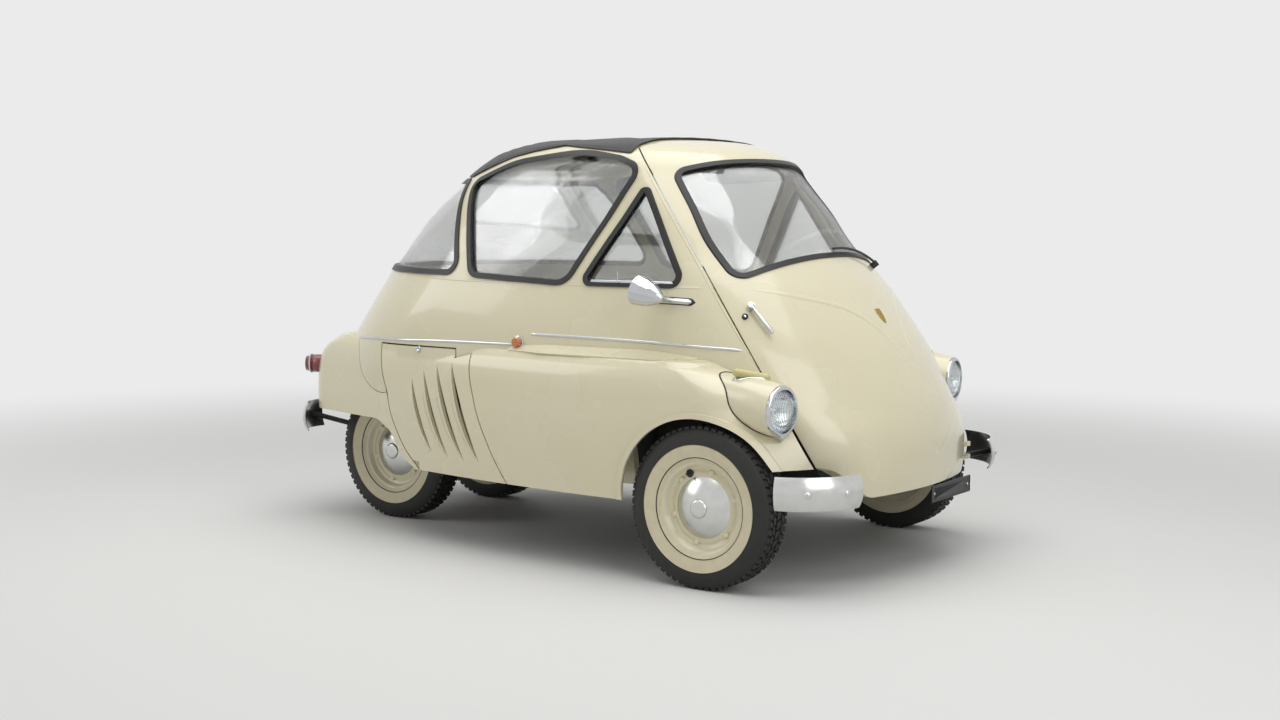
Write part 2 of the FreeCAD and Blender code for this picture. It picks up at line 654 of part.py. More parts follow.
# Engine cover hinge along its lower edge: two pins carried by arms from the rails.
COVER_HINGE = ((-760.0, -606.0), (-1090.0, -563.0))
cover_hinge_z = 246.0
cover_pin_radius = 5.0
cover_barrel_radius = 12.0
cover_barrel = 36.0
cover_arm = 12.0
cover_pivot = at(COVER_HINGE[0][0], COVER_HINGE[0][1], cover_hinge_z)
cover_axis = at(COVER_HINGE[1][0], COVER_HINGE[1][1], cover_hinge_z) - cover_pivot
cover_length = cover_axis.Length
cover_axis.normalize()
barrels = []
cover_bores = []
for start in (20.0, cover_length - 20.0 - cover_barrel):
    foot = cover_pivot + cover_axis * start
    barrels.append(Part.makeCylinder(cover_barrel_radius, cover_barrel, foot, cover_axis))
    cover_bores.append(Part.makeCylinder(cover_pin_radius + running_gap, cover_barrel + 2,
                                         foot - cover_axis, cover_axis))
    pin_start = foot - cover_axis * (cover_arm + 2)
    pin = Part.makeCylinder(cover_pin_radius, cover_barrel + cover_arm + 4, pin_start, cover_axis)
    arm_x = pin_start.x - front_axle_x - cover_arm
    arm = box((arm_x, pin_start.y, cover_hinge_z - 8),
              (arm_x + cover_arm + 2, -rail_y, cover_hinge_z + 8))
    arm = arm.fuse(rod((arm_x, pin_start.y, cover_hinge_z),
                       (arm_x + cover_arm + 2, pin_start.y, cover_hinge_z), 8))
    riser = box((arm_x, -rail_y - 25, cover_hinge_z - 9), (arm_x + cover_arm, -rail_y + 25, rail_low + 1))
    frame_pieces.extend([pin, arm, riser])
cover = fuse([cover] + [barrel.cut(clear_of_cabin) for barrel in barrels])
parts["engine_cover"] = cut_each(cover, cover_bores)
parts["chassis_frame"] = fuse(frame_pieces)

# ---- Front axle with its forks and kingpins ----
kingpin_y = front_track / 2 - 55
kingpin_radius = 8.0
fork_gap = 54.0
fork_wall = 16.0
fork_radius = 14.0
axle_pieces = [rod((0, -kingpin_y + 50, axle_z), (0, kingpin_y - 50, axle_z), axle_tube_radius)]
for label, side in SIDES:
    pin_y = side * kingpin_y
    plate_y = side * (kingpin_y - 57)
    reach = fork_gap + fork_wall
    low_y = min(plate_y, plate_y + side * 16)
    axle_pieces.append(box((-20, low_y, axle_z - reach), (20, low_y + 16, axle_z + reach)))
    for low in (axle_z - reach, axle_z + fork_gap):
        arm_y = sorted((plate_y, pin_y))
        axle_pieces.append(box((-fork_radius, arm_y[0], low), (fork_radius, arm_y[1], low + fork_wall)))
        axle_pieces.append(rod((0, pin_y, low), (0, pin_y, low + fork_wall), fork_radius))
    axle_pieces.append(rod((0, pin_y, axle_z - reach - 4), (0, pin_y, axle_z + reach + 4), kingpin_radius))
parts["front_axle"] = fuse(axle_pieces)

# ---- Steering knuckles ----
stub_radius = 12.5
post_radius = 18.0
shield_radius = 92.0
for label, side in SIDES:
    pin_y = side * kingpin_y
    post = rod((0, pin_y, axle_z - 50), (0, pin_y, axle_z + 50), post_radius)
    stub = rod((0, pin_y + side * 10, axle_z), (0, pin_y + side * 77, axle_z), stub_radius)
    flange = rod((0, pin_y + side * 12, axle_z), (0, pin_y + side * 26, axle_z), 30)
    shield = rod((0, pin_y + side * 20, axle_z), (0, pin_y + side * 22, axle_z), shield_radius)
    arm = box((-120, pin_y - 11, axle_z - 38), (-8, pin_y + 11, axle_z - 26))
    bore = rod((0, pin_y, axle_z - 51), (0, pin_y, axle_z + 51), kingpin_radius + running_gap)
    parts[f"knuckle_{label}"] = fuse([post, stub, flange, shield, arm]).cut(bore)

# ---- Wheels. Profiles are (outwards along the axle, radius) from the wheel's middle ----
bead = rim_width / 2 - rim_wall - 0.5
widest = tyre_width / 2
TYRE = (
    (-bead, bead_seat_radius + fit_gap, 1), (-bead, rim_flange_radius + 3, 12),
    (-widest, 186, 34), (-widest + 12, tyre_radius, 16), (widest - 12, tyre_radius, 16),
    (widest, 186, 34), (bead, rim_flange_radius + 3, 12), (bead, bead_seat_radius + fit_gap, 1),
)
flange = rim_width / 2
seat_in = flange - rim_wall
well = bead_seat_radius - 15
RIM = (
    (-flange, rim_flange_radius), (-seat_in, rim_flange_radius), (-seat_in, bead_seat_radius),
    (-22, bead_seat_radius), (-18, well), (18, well), (22, bead_seat_radius),
    (seat_in, bead_seat_radius), (seat_in, rim_flange_radius), (flange, rim_flange_radius),
    (flange, bead_seat_radius - rim_wall), (25, bead_seat_radius - rim_wall), (21, well - rim_wall),
    (-21, well - rim_wall), (-25, bead_seat_radius - rim_wall), (-flange, bead_seat_radius - rim_wall),
)
drum_radius = 92.0
drum_inner = -26.0
hub_radius = 28.0
disc_face = 24.0
hub_cap_radius = 90.0
hub_cap_height = 30.0
hub_cap_wall = 3.0
cap_edge = disc_face + fit_gap


def wheel(x, y, side, hub_bore):
    """Tyre, pressed wheel with its brake drum and hub, and hub cap."""
    centre = at(x, y, axle_z)
    outwards = ACROSS * side
    disc = (
        (disc_face - 6, well - 2), (disc_face, 98), (disc_face, hub_bore), (-disc_face, hub_bore),
        (-disc_face, hub_radius), (disc_face - 8, hub_radius), (disc_face - 8, drum_radius - 6),
        (drum_inner, drum_radius - 6), (drum_inner, drum_radius), (disc_face - 6, drum_radius),
        (disc_face - 10, well - 5), (disc_face - 10, well - 2),
    )
    rim = fuse([revolved(RIM, centre, outwards, UP), revolved(disc, centre, outwards, UP)])
    cap = dome(hub_cap_radius, hub_cap_height, hub_cap_wall, centre + outwards * cap_edge, outwards)
    return spun(TYRE, centre, outwards, UP), rim, cap


rear_wheels = []
for label, side in SIDES:
    tyre, rim, cap = wheel(0, side * front_track / 2, side, stub_radius + running_gap)
    parts[f"front_tyre_{label}"] = tyre
    parts[f"front_rim_{label}"] = rim
    parts[f"front_cap_{label}"] = cap
    rear_wheels.append(wheel(-wheelbase, side * rear_track / 2, side, rear_shaft_radius + fit_gap))
for index, name in enumerate(("rear_tyres", "rear_rims", "rear_caps")):
    parts[name] = Part.Compound([pieces[index] for pieces in rear_wheels])
shaft_end = rear_track / 2 + disc_face - 2
parts["rear_axle"] = rod((-wheelbase, -shaft_end, axle_z), (-wheelbase, shaft_end, axle_z),
                         rear_shaft_radius)

# ---- Engine, chain case and silencer ----
engine_low = (-1245, -500)
engine_high = (-970, -190)
engine_low_z = 265.0
engine_upper = box((engine_low[0], engine_low[1], floor_z + 2), (engine_high[0], -62, 600))
engine_lower = box((engine_low[0], engine_low[1], engine_low_z), (engine_high[0], engine_high[1], 400))
parts["engine_block"] = fuse([engine_upper, engine_lower])

# ---- Seat ----
seat_half = 470.0
seat_base_top = 400.0
base_outer = box((-800, -430, floor_z + sheet + fit_gap), (-440, 430, seat_base_top))
base_inner = box((-797, -427, floor_z), (-443, 427, seat_base_top - 3))
parts["seat_base"] = base_outer.cut(base_inner)
cushion_top = 525.0
cushion = box((-880, -seat_half, seat_base_top + fit_gap), (-400, seat_half, cushion_top))
parts["seat_cushion"] = cushion.makeFillet(32, cushion.Edges)
back_low = cushion_top + fit_gap
SEAT_BACK = ((-885, back_low, 20), (-780, back_low, 20), (-880, 860, 38), (-972, 860, 38))
parts["seat_back"] = side_prism(SEAT_BACK, -seat_half, seat_half)

# ---- Headlamps in their nacelles on the wings ----
# Columns: ahead, across, height, radius, degrees turned outwards.
NACELLE = ((-20, 548, 560, 62, 0), (80, 553, 545, 72, 0), (160, 562, 532, 76, 3),
           (219.5, 570, 523, 74, 6))
lamp_turn = math.radians(NACELLE[-1][4])
lamp_centre = at(*NACELLE[-1][:3])
lamp_axis = Vector(math.cos(lamp_turn), math.sin(lamp_turn), 0)
lamp_across = Vector(-math.sin(lamp_turn), math.cos(lamp_turn), 0)
lens_radius = 62.0
ring_radius = 72.0
ring_depth = 10.0
TEARDROP = ((-ring_radius, ring_radius, ring_radius - 0.1), (-ring_radius, -40, 58), (0, -84, 9),
            (ring_radius, -40, 58), (ring_radius, ring_radius, ring_radius - 0.1))
sections = []
for x, y, z, radius, turn in NACELLE:
    normal = Vector(math.cos(math.radians(turn)), math.sin(math.radians(turn)), 0)
    sections.append(Part.Wire(Part.makeCircle(radius, at(x, y, z), normal)))
lamp_bore = Part.makeCylinder(lens_radius + 1.3, 62, lamp_centre - lamp_axis * 60, lamp_axis)
nacelle = Part.makeLoft(sections, True, False).cut(body_form(WING_LEVELS, -fit_gap))
nacelle = nacelle.cut(body_form(CABIN_LEVELS, -moving_gap - 1)).cut(lamp_bore)
nacelle = largest(nacelle)
teardrop = rounded_face(TEARDROP, lambda u, v: lamp_centre + lamp_across * u + UP * v)
ring = teardrop.extrude(lamp_axis * ring_depth)
ring.translate(lamp_axis * fit_gap)
front_edges = [edge for edge in ring.Edges
               if all((vertex.Point - lamp_centre).dot(lamp_axis) > ring_depth for vertex in edge.Vertexes)]
ring = ring.makeFillet(6, front_edges)
ring = ring.cut(Part.makeCylinder(lens_radius, 80, lamp_centre - lamp_axis * 20, lamp_axis))
lens = dome(lens_radius - 0.4, 19, 4, lamp_centre + lamp_axis, lamp_axis)
bowl = dome(lens_radius + 1, 46, 3, lamp_centre, lamp_axis * -1)
for name, piece in (("nacelles", nacelle), ("headlamp_rings", ring), ("headlamp_lenses", lens),
                    ("headlamp_bowls", bowl)):
    parts[name] = Part.Compound([mirrored(piece), piece])
parts["wing_left"] = parts["wing_left"].cut(lamp_bore)
parts["wing_right"] = parts["wing_right"].cut(mirrored(lamp_bore))

# ---- Steering column, carried by the door ----
column_top = at(-285, 250, 742)
column_foot = at(360, 250, 342)
column_axis = column_top - column_foot
column_length = column_axis.Length
column_axis.normalize()
door_room = body_form(CABIN_LEVELS, door_wall + fit_gap, 5.0)
column = Part.makeCylinder(15, column_length, column_foot, column_axis)
brace = rod((-60, 250, 602), (130, 250, 880), 9)
shaft_radius = 8.0
shaft_depth = 40.0
socket = Part.makeCylinder(shaft_radius + running_gap, shaft_depth + moving_gap,
                           column_top - column_axis * (shaft_depth + moving_gap), column_axis)
parts["steering_column"] = largest(fuse([column, brace]).common(door_room)).cut(socket)
wheel_rim_radius = 180.0
wheel_grip = 10.0
hub_foot = column_top + column_axis * moving_gap
steer_across = ACROSS
steer_up = column_axis.cross(steer_across)
rim_centre = hub_foot + column_axis * 30
rim_ring = Part.makeTorus(wheel_rim_radius, wheel_grip, rim_centre, column_axis)
hub = Part.makeCylinder(32, 34, hub_foot, column_axis)
shaft = Part.makeCylinder(shaft_radius, shaft_depth + moving_gap + 1,
                          column_top - column_axis * shaft_depth, column_axis)
steering = [rim_ring, hub, shaft]
for angle in (90, 210, 330):
    out = steer_across * math.cos(math.radians(angle)) + steer_up * math.sin(math.radians(angle))
    steering.append(Part.makeCylinder(7, wheel_rim_radius - 5, rim_centre - column_axis * 8, out))
parts["steering_wheel"] = fuse(steering)

# ---- Small fittings ----
clear_of_wing = body_form(WING_LEVELS, -fit_gap)


def unit(x, y, z):
    """Unit vector."""
    return Vector(x, y, z).normalize()


def peg(point, direction, low, high, radius):
    """Round peg along a direction, between two distances from a point on the skin."""
    return Part.makeCylinder(radius, high - low, point + direction * low, direction)


# Mirror on the right-hand waist: foot, arm, bell and glass.
mirror_apex = at(-150, -618, 826)
mirror_axis = unit(-88, 8, 24)
mirror_radius = 46.0
mirror_depth = 94.0
BELL = ((0, 0), (0, 8), (16, 20), (40, 33), (70, 42), (94, 46), (94, 43), (70, 39), (40, 30), (17, 17),
        (4, 6), (4, 0))
mirror_side = mirror_axis.cross(UP).normalize()
bell = revolved(BELL, mirror_apex, mirror_axis, mirror_side)
mirror_foot = rod((-223, -541, 819), (-110, -527, 816), 6).cut(clear_of_cabin)
mirror_arm = rod((-166, -534, 818), (-186, -600, 836), 6).cut(clear_of_cabin)
parts["door_mirror"] = fuse([mirror_foot, mirror_arm, bell])
parts["mirror_glass"] = peg(mirror_apex, mirror_axis, mirror_depth - 4, mirror_depth - 1,
                            mirror_radius - 3.6)

# Handle and lock on the door.
door_normal = unit(0.64, -0.515, 0.57)
handle_top = at(42, -450, 800)
handle_end = at(106, -442, 725) + door_normal * 16
handle_start = handle_top + door_normal * 16
lever_axis = (handle_end - handle_start).normalize()
lever = Part.makeCylinder(6, handle_start.distanceToPoint(handle_end), handle_start, lever_axis)
handle = [peg(handle_top, door_normal, -14, 20, 10), lever, Part.makeSphere(6, handle_end)]
parts["door_handle"] = fuse(handle).cut(clear_of_cabin)
parts["door_lock"] = peg(at(37, -469, 775), door_normal, -8, 6, 9).cut(clear_of_cabin)

# Wiper: pivot beside the windscreen's lower edge, blade lying along it.
WIPER = ((262, -202, -20), (110, -168, 10), (-40, -166, 19))
wiper_points = [screen_middle + ACROSS * y + screen_up * up + screen_out * out for y, up, out in WIPER]
wiper_arc = Part.Arc(*wiper_points).toShape()
tip = Part.makeCircle(4, wiper_points[0], wiper_arc.tangentAt(wiper_arc.FirstParameter))
blade = Part.Wire([wiper_arc]).makePipeShell([Part.Wire(tip)], True, False)
pivot = peg(wiper_points[0], unit(0.72, 0.3, 0.62), -50, 6, 10).cut(clear_of_cabin)
parts["wiper"] = fuse([blade, pivot])

# Driving mirror, hung from the door's upper frame.
glass_box = box((-300, -196, 1196), (-288, -64, 1240))
glass_box = glass_box.makeFillet(5, glass_box.Edges)
stem = rod((-292, -130, 1236), (-276, -130, 1320), 5).common(door_room)
parts["interior_mirror"] = fuse([glass_box, largest(stem)])

# Parking lamps on the nacelles, side lamps on the waist, tail lamps on the corners.
nacelle_form = Part.makeLoft(sections, True, False)
park = rod((84, 588, 626), (150, 534, 610), 12)
for x, y, z in ((84, 588, 626), (150, 534, 610)):
    park = park.fuse(Part.makeSphere(12, at(x, y, z)))
park = largest(park.removeSplitter().cut(nacelle_form).cut(clear_of_wing))
parts["parking_lamps"] = Part.Compound([mirrored(park), park])
side_lamp = rod((-700, 570, 675), (-700, 614, 675), 15)
side_lamp = side_lamp.makeFillet(4, [side_lamp.Edges[0]]).cut(clear_of_cabin)
parts["side_lamps"] = Part.Compound([mirrored(largest(side_lamp)), largest(side_lamp)])
tail_normal = unit(-0.866, 0.5, 0)
tail_spot = at(-1793, 390, 535)
tail_lamp = peg(tail_spot, tail_normal, -30, 10, 32).fuse(peg(tail_spot, tail_normal, 0, 26, 27))
tail_lamp = largest(tail_lamp.removeSplitter().cut(clear_of_wing))
parts["tail_lamps"] = Part.Compound([mirrored(tail_lamp), tail_lamp])

# Exhaust: pipe from the engine, silencer beside the left rail, tail pipe.
silencer = [
    rod((-1060, 300, 262), (-720 - fit_gap, 300, 262), 34),
    rod((-1000, -230, 240), (-1000, -230, engine_low_z - fit_gap), 12),
    rod((-1000, -242, 245), (-1000, 300, 245), 12),
    rod((-1040, 300, 252), (-1120, 420, 236), 12),
]
parts["exhaust"] = fuse(silencer)

# Chain case from the gearbox to the rear axle.
case_rear = (-wheelbase, axle_z, 60.0)
case_front = (-1215.0, 330.0, 50.0)
span = math.hypot(case_front[0] - case_rear[0], case_front[1] - case_rear[1])
lean = ((case_front[1] - case_rear[1]) / span, -(case_front[0] - case_rear[0]) / span)
web = []
for x, z, radius, sign in (case_rear + (1,), case_rear + (-1,), case_front + (-1,), case_front + (1,)):
    web.append(at(x + sign * radius * lean[0], -60, z + sign * radius * lean[1]))
web = Part.Face(Part.makePolygon(web + [web[0]])).extrude(ACROSS * 50)
case = fuse([web] + [rod((x, -60, z), (x, -10, z), radius) for x, z, radius in (case_rear, case_front)])
parts["chain_case"] = case.cut(rod((-wheelbase, -61, axle_z), (-wheelbase, -9, axle_z),
                                   rear_shaft_radius + running_gap))

os.makedirs("parts", exist_ok=True)
for name, shape in parts.items():
    shape.exportStep(f"parts/{name}.step")
    print(name, len(shape.Solids), shape.isValid(), [round(x.Volume / 1000) for x in shape.Solids])
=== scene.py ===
# %% [markdown]
# # A bubble car, dressed for its portrait
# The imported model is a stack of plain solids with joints. This lesson gives each of them the
# finish of the real thing: enamel, polished aluminium, chrome, glass, rubber, canvas and cloth.

# %% Load the frame
import json
import math

import bmesh
import bpy
import numpy as np
from mathutils import Matrix, Vector
from mathutils.bvhtree import BVHTree

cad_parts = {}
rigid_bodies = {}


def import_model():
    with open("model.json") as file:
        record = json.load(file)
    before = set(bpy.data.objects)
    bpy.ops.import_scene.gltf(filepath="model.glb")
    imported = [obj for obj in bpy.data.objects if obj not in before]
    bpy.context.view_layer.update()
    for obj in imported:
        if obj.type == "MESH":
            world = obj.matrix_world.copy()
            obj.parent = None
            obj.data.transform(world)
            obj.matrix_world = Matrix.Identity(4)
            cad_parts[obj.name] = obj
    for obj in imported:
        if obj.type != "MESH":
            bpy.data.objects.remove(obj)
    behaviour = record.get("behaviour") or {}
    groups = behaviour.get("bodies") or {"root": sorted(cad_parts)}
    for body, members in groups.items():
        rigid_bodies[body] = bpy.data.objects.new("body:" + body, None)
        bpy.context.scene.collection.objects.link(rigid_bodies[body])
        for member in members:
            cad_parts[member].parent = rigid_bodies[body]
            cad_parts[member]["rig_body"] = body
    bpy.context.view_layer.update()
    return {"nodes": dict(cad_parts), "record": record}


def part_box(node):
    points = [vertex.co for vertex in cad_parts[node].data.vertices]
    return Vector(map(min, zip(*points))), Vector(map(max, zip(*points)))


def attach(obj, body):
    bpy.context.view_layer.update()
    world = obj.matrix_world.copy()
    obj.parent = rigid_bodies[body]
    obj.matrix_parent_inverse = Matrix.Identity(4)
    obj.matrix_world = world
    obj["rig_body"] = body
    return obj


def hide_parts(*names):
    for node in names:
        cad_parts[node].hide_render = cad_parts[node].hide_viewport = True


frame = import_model()
nodes = frame["nodes"]
slot_of = {entry["node"]: entry["material_slot"] for entry in frame["record"]["subparts"]}

# %% [markdown]
# The front axle is the landmark of this car: every place along it is written ahead of that
# axle, in millimetres, as on a works drawing. Its middle comes from the box of a front tyre.

# %% Landmarks
tyre_low, tyre_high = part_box("front_tyre_right")
axle_x = (tyre_low.x + tyre_high.x) / 2
axle_z = (tyre_low.z + tyre_high.z) / 2
wheelbase = 1.5
SIDES = (("right", -1), ("left", 1))


def spot(x, y, z):
    """A point in metres, from millimetres ahead of the front axle, across and up."""
    return Vector((axle_x + x / 1000, y / 1000, z / 1000))


print("front axle at", round(axle_x, 4), round(axle_z, 4))

# %% [markdown]
# ## Helpers
# Colours are written as sRGB hex values, the way a paint chart gives them, but light adds up in
# linear values, so one function turns them. One more adds a node and joins it to the others, and
# one links an object to the scene.


# %% Helpers for objects, colours and nodes
def linked_object(name, data):
    """A new object in the scene."""
    made = bpy.data.objects.new(name, data)
    bpy.context.collection.objects.link(made)
    return made


def linear(code):
    """sRGB hex to linear RGBA."""
    channels = [int(code[index:index + 2], 16) / 255 for index in (1, 3, 5)]
    return [c / 12.92 if c <= 0.04045 else ((c + 0.055) / 1.055) ** 2.4 for c in channels] + [1.0]


def wire(tree, node, **inputs):
    """Join or set inputs. Underscores in a name are spaces, and in0, in1 ... count the sockets."""
    for name, value in inputs.items():
        counted = name[:2] == "in" and name[2:].isdigit()
        socket = node.inputs[int(name[2:]) if counted else name.replace("_", " ")]
        if isinstance(value, bpy.types.NodeSocket):
            tree.links.new(value, socket)
        else:
            socket.default_value = value
    return node


def add(tree, kind, settings=None, **inputs):
    """Add a node with its settings, and wire its inputs."""
    node = tree.nodes.new(kind)
    for key, value in (settings or {}).items():
        setattr(node, key, value)
    return wire(tree, node, **inputs)


def material(name):
    """A new material: itself, its tree, its shader, and the object coordinates."""
    made = bpy.data.materials.new(name)
    made.use_nodes = True
    tree = made.node_tree
    place = add(tree, "ShaderNodeTexCoord").outputs["Object"]
    return made, tree, tree.nodes["Principled BSDF"], place


BLEND = {"data_type": "RGBA"}
MULTIPLY = {"operation": "MULTIPLY"}
# A wave texture at scale 1 repeats every 0.314 metres.
wave_length_mm = 314.16
print("half grey is", round(linear("#808080")[0], 3), "in linear light")

# %% [markdown]
# ## Enamel
# The body is pressed steel under a warm cream stoving enamel. It could be one flat colour, but
# real enamel drifts in tone and gloss over a panel and carries a faint orange peel about 4 mm
# across. A clear coat weight gives the deep, wet highlight.

# %% Enamel material
enamel, tree, shader, place = material("cream_stoving_enamel")
drift = add(tree, "ShaderNodeTexNoise", Vector=place, Scale=3.8, Detail=2.0).outputs["Fac"]
tone = add(tree, "ShaderNodeMix", BLEND, in0=drift, in6=linear("#DAD2B0"), in7=linear("#E1DABE"))
peel = add(tree, "ShaderNodeTexNoise", Vector=place, Scale=250.0, Detail=1.0).outputs["Fac"]
bump = add(tree, "ShaderNodeBump", Height=peel, Distance=0.00001, Strength=0.6)
rough = add(tree, "ShaderNodeMapRange", Value=drift, To_Min=0.24, To_Max=0.3)
wire(tree, shader, Base_Color=tone.outputs[2], Roughness=rough.outputs["Result"],
     Coat_Weight=0.6, Coat_Roughness=0.05, Normal=bump.outputs["Normal"])
print("made", enamel.name)

# %% [markdown]
# ## Metals
# Bumpers and hub caps are polished aluminium, which stays a little cloudy, with fine polishing
# lines. Lamp rings, handles and trim are chrome plate: darker, sharper, almost a mirror. Bowls
# behind the lamps are silvered. The badge is brass, and the running gear is oiled cast steel.

# %% Metal materials
# Columns: name, darker tone, lighter tone, patch size, roughness low and high, grain in
# millimetres, grain depth in millimetres.
METALS = (
    ("polished_aluminium", "#C2C3C0", "#DCDDDA", 35, 0.16, 0.3, 1.2, 0.01),
    ("chrome_plate", "#BFC2C5", "#D3D6D8", 60, 0.04, 0.09, 25, 0.01),
    ("silvered_reflector", "#D2D5D8", "#E4E7EA", 18, 0.08, 0.14, 12, 0.01),
    ("aged_brass", "#8F7434", "#BFA257", 6, 0.28, 0.45, 2, 0.05),
    ("oiled_cast_steel", "#2B2A29", "#57524C", 9, 0.45, 0.65, 2.5, 0.2),
    ("rough_iron_casting", "#3A3937", "#6A6762", 14, 0.55, 0.75, 2.0, 0.3),
)


def mottled(table, metallic):
    """Materials by name, whose tone and gloss drift in patches over a fine grain."""
    made = {}
    for name, dark, light, patch, smooth, rougher, grain, depth in table:
        made[name], tree, shader, place = material(name)
        cloud, fine = [add(tree, "ShaderNodeTexNoise", Vector=place, Scale=1000 / size,
                           Detail=detail).outputs["Fac"] for size, detail in ((patch, 4.0), (grain, 2.0))]
        tone = add(tree, "ShaderNodeMix", BLEND, in0=cloud, in6=linear(dark), in7=linear(light))
        rough = add(tree, "ShaderNodeMapRange", Value=cloud, To_Min=smooth, To_Max=rougher)
        bump = add(tree, "ShaderNodeBump", Height=fine, Distance=depth / 1000, Strength=0.5)
        wire(tree, shader, Base_Color=tone.outputs[2], Metallic=metallic,
             Roughness=rough.outputs["Result"], Normal=bump.outputs["Normal"])
    print("made", sorted(made))
    return made


metals = mottled(METALS, 1.0)

# %% [markdown]
# ## Rubber, paint and plastic
# Window rubbers are extruded black rubber with a low sheen. The chassis is brushed satin black,
# the plate is blank black enamel, the steering wheel is ivory celluloid over steel, and the small
# knobs are black phenolic. The parking lamps have domes of clear resin, yellowed by age.

# %% Rubber, paint and plastic materials
# Columns: as for the metals.
COVERINGS = (
    ("extruded_black_rubber", "#0E0E0D", "#1D1C1B", 15, 0.34, 0.5, 2.5, 0.04),
    ("chassis_black_paint", "#101011", "#2A2825", 25, 0.4, 0.6, 3.0, 0.08),
    ("blank_plate_enamel", "#0A0A0B", "#17171A", 30, 0.25, 0.35, 6.0, 0.02),
    ("ivory_celluloid", "#CBC1A2", "#DCD4BA", 50, 0.2, 0.3, 8.0, 0.02),
    ("moulded_black_phenolic", "#0B0B0B", "#171717", 10, 0.22, 0.34, 1.5, 0.02),
    ("aged_lens_resin", "#B9AE6C", "#D8CF9A", 9, 0.12, 0.2, 3.0, 0.05),
)
coverings = mottled(COVERINGS, 0.0)
print("blank plate enamel is", coverings["blank_plate_enamel"].name)

# %% [markdown]
# ## Glass and lenses
# The windows are clear glass in front and clear acrylic elsewhere, with a faint green tone. The
# headlamp glass is pressed and fluted; its flutes are real geometry, made further on. The small
# lamps have ribbed amber and red lenses, with ribs 5 mm apart.

# %% Glass and lens materials
glasses = {}
# Columns: name, darker tone, lighter tone, scale of the drift, roughness, alpha.
GLASSES = (("clear_window_glass", "#EFF5F3", "#F7FAF9", 3.0, 0.0, 0.45),
           ("pressed_lamp_glass", "#F0F4F4", "#F8FAFA", 12.0, 0.02, 1.0))
for name, dark, light, scale, roughness, alpha in GLASSES:
    glasses[name], tree, shader, place = material(name)
    drift = add(tree, "ShaderNodeTexNoise", Vector=place, Scale=scale).outputs["Fac"]
    tone = add(tree, "ShaderNodeMix", BLEND, in0=drift, in6=linear(dark), in7=linear(light))
    wire(tree, shader, Base_Color=tone.outputs[2], Transmission_Weight=1.0, Roughness=roughness,
         IOR=1.5, Alpha=alpha)
glass = glasses["clear_window_glass"]
lamp_glass = glasses["pressed_lamp_glass"]

lenses = {}
for name, dark, light in (("amber_ribbed_lens", "#A4560E", "#D98324"),
                          ("red_ribbed_lens", "#5E0A08", "#8E1410")):
    lenses[name], tree, shader, place = material(name)
    ribs = add(tree, "ShaderNodeTexWave", {"bands_direction": "Z"}, Vector=place,
               Scale=wave_length_mm / 5).outputs["Fac"]
    # The tone is lighter on each rib's crest and darker in its groove: a painted highlight and painted
    # shade on the ribs.
    tone = add(tree, "ShaderNodeMix", BLEND, in0=ribs, in6=linear(dark), in7=linear(light))
    bump = add(tree, "ShaderNodeBump", Height=ribs, Distance=0.0004, Strength=0.8)
    wire(tree, shader, Base_Color=tone.outputs[2], Roughness=0.12, Coat_Weight=1.0,
         Normal=bump.outputs["Normal"])
print("made", sorted(glasses), sorted(lenses))

# %% [markdown]
# ## Tyre rubber
# The tyre is black compound with a wide cream whitewall. A whitewall is a layer of pale rubber
# under the black one, laid bare between two radii, so the colour is chosen here by the distance
# from the axle. One material serves both axles: each half of the car measures from its own.

# %% Tyre material
tyre_rubber, tree, shader, place = material("tyre_rubber_with_whitewall")
axes = add(tree, "ShaderNodeSeparateXYZ", Vector=place)
fore = add(tree, "ShaderNodeMath", {"operation": "GREATER_THAN"}, in0=axes.outputs["X"],
           in1=axle_x - wheelbase / 2).outputs[0]
middle = add(tree, "ShaderNodeMapRange", Value=fore, To_Min=axle_x - wheelbase,
             To_Max=axle_x).outputs["Result"]
along = add(tree, "ShaderNodeMath", {"operation": "SUBTRACT"}, in0=axes.outputs["X"], in1=middle)
up = add(tree, "ShaderNodeMath", {"operation": "SUBTRACT"}, in0=axes.outputs["Z"], in1=axle_z)
flat = add(tree, "ShaderNodeCombineXYZ", X=along.outputs[0], Z=up.outputs[0]).outputs["Vector"]
radius = add(tree, "ShaderNodeVectorMath", {"operation": "LENGTH"}, in0=flat).outputs["Value"]
black = add(tree, "ShaderNodeMapRange", {"clamp": True}, Value=radius, From_Min=0.1828,
            From_Max=0.184).outputs["Result"]
scuff = add(tree, "ShaderNodeTexNoise", Vector=place, Scale=45.0, Detail=5.0).outputs["Fac"]
pale = add(tree, "ShaderNodeMix", BLEND, in0=scuff, in6=linear("#C9C0A2"), in7=linear("#DDD5B8"))
dark = add(tree, "ShaderNodeMix", BLEND, in0=scuff, in6=linear("#121211"), in7=linear("#262523"))
tone = add(tree, "ShaderNodeMix", BLEND, in0=black, in6=pale.outputs[2], in7=dark.outputs[2])
bump = add(tree, "ShaderNodeBump", Height=scuff, Distance=0.0002, Strength=0.5)
wire(tree, shader, Base_Color=tone.outputs[2], Roughness=0.62, Normal=bump.outputs["Normal"])
print("made", tyre_rubber.name)

# %% [markdown]
# ## Cloth
# The roof is rubberised cotton duck: a plain weave, nearly black, with a slight sheen from the
# coating. The seat is a coarser woven cloth. The threads are drawn 3 and 4 mm apart, coarser
# than life, so that the weave shows at all.

# %% Cloth materials
cloths = {}
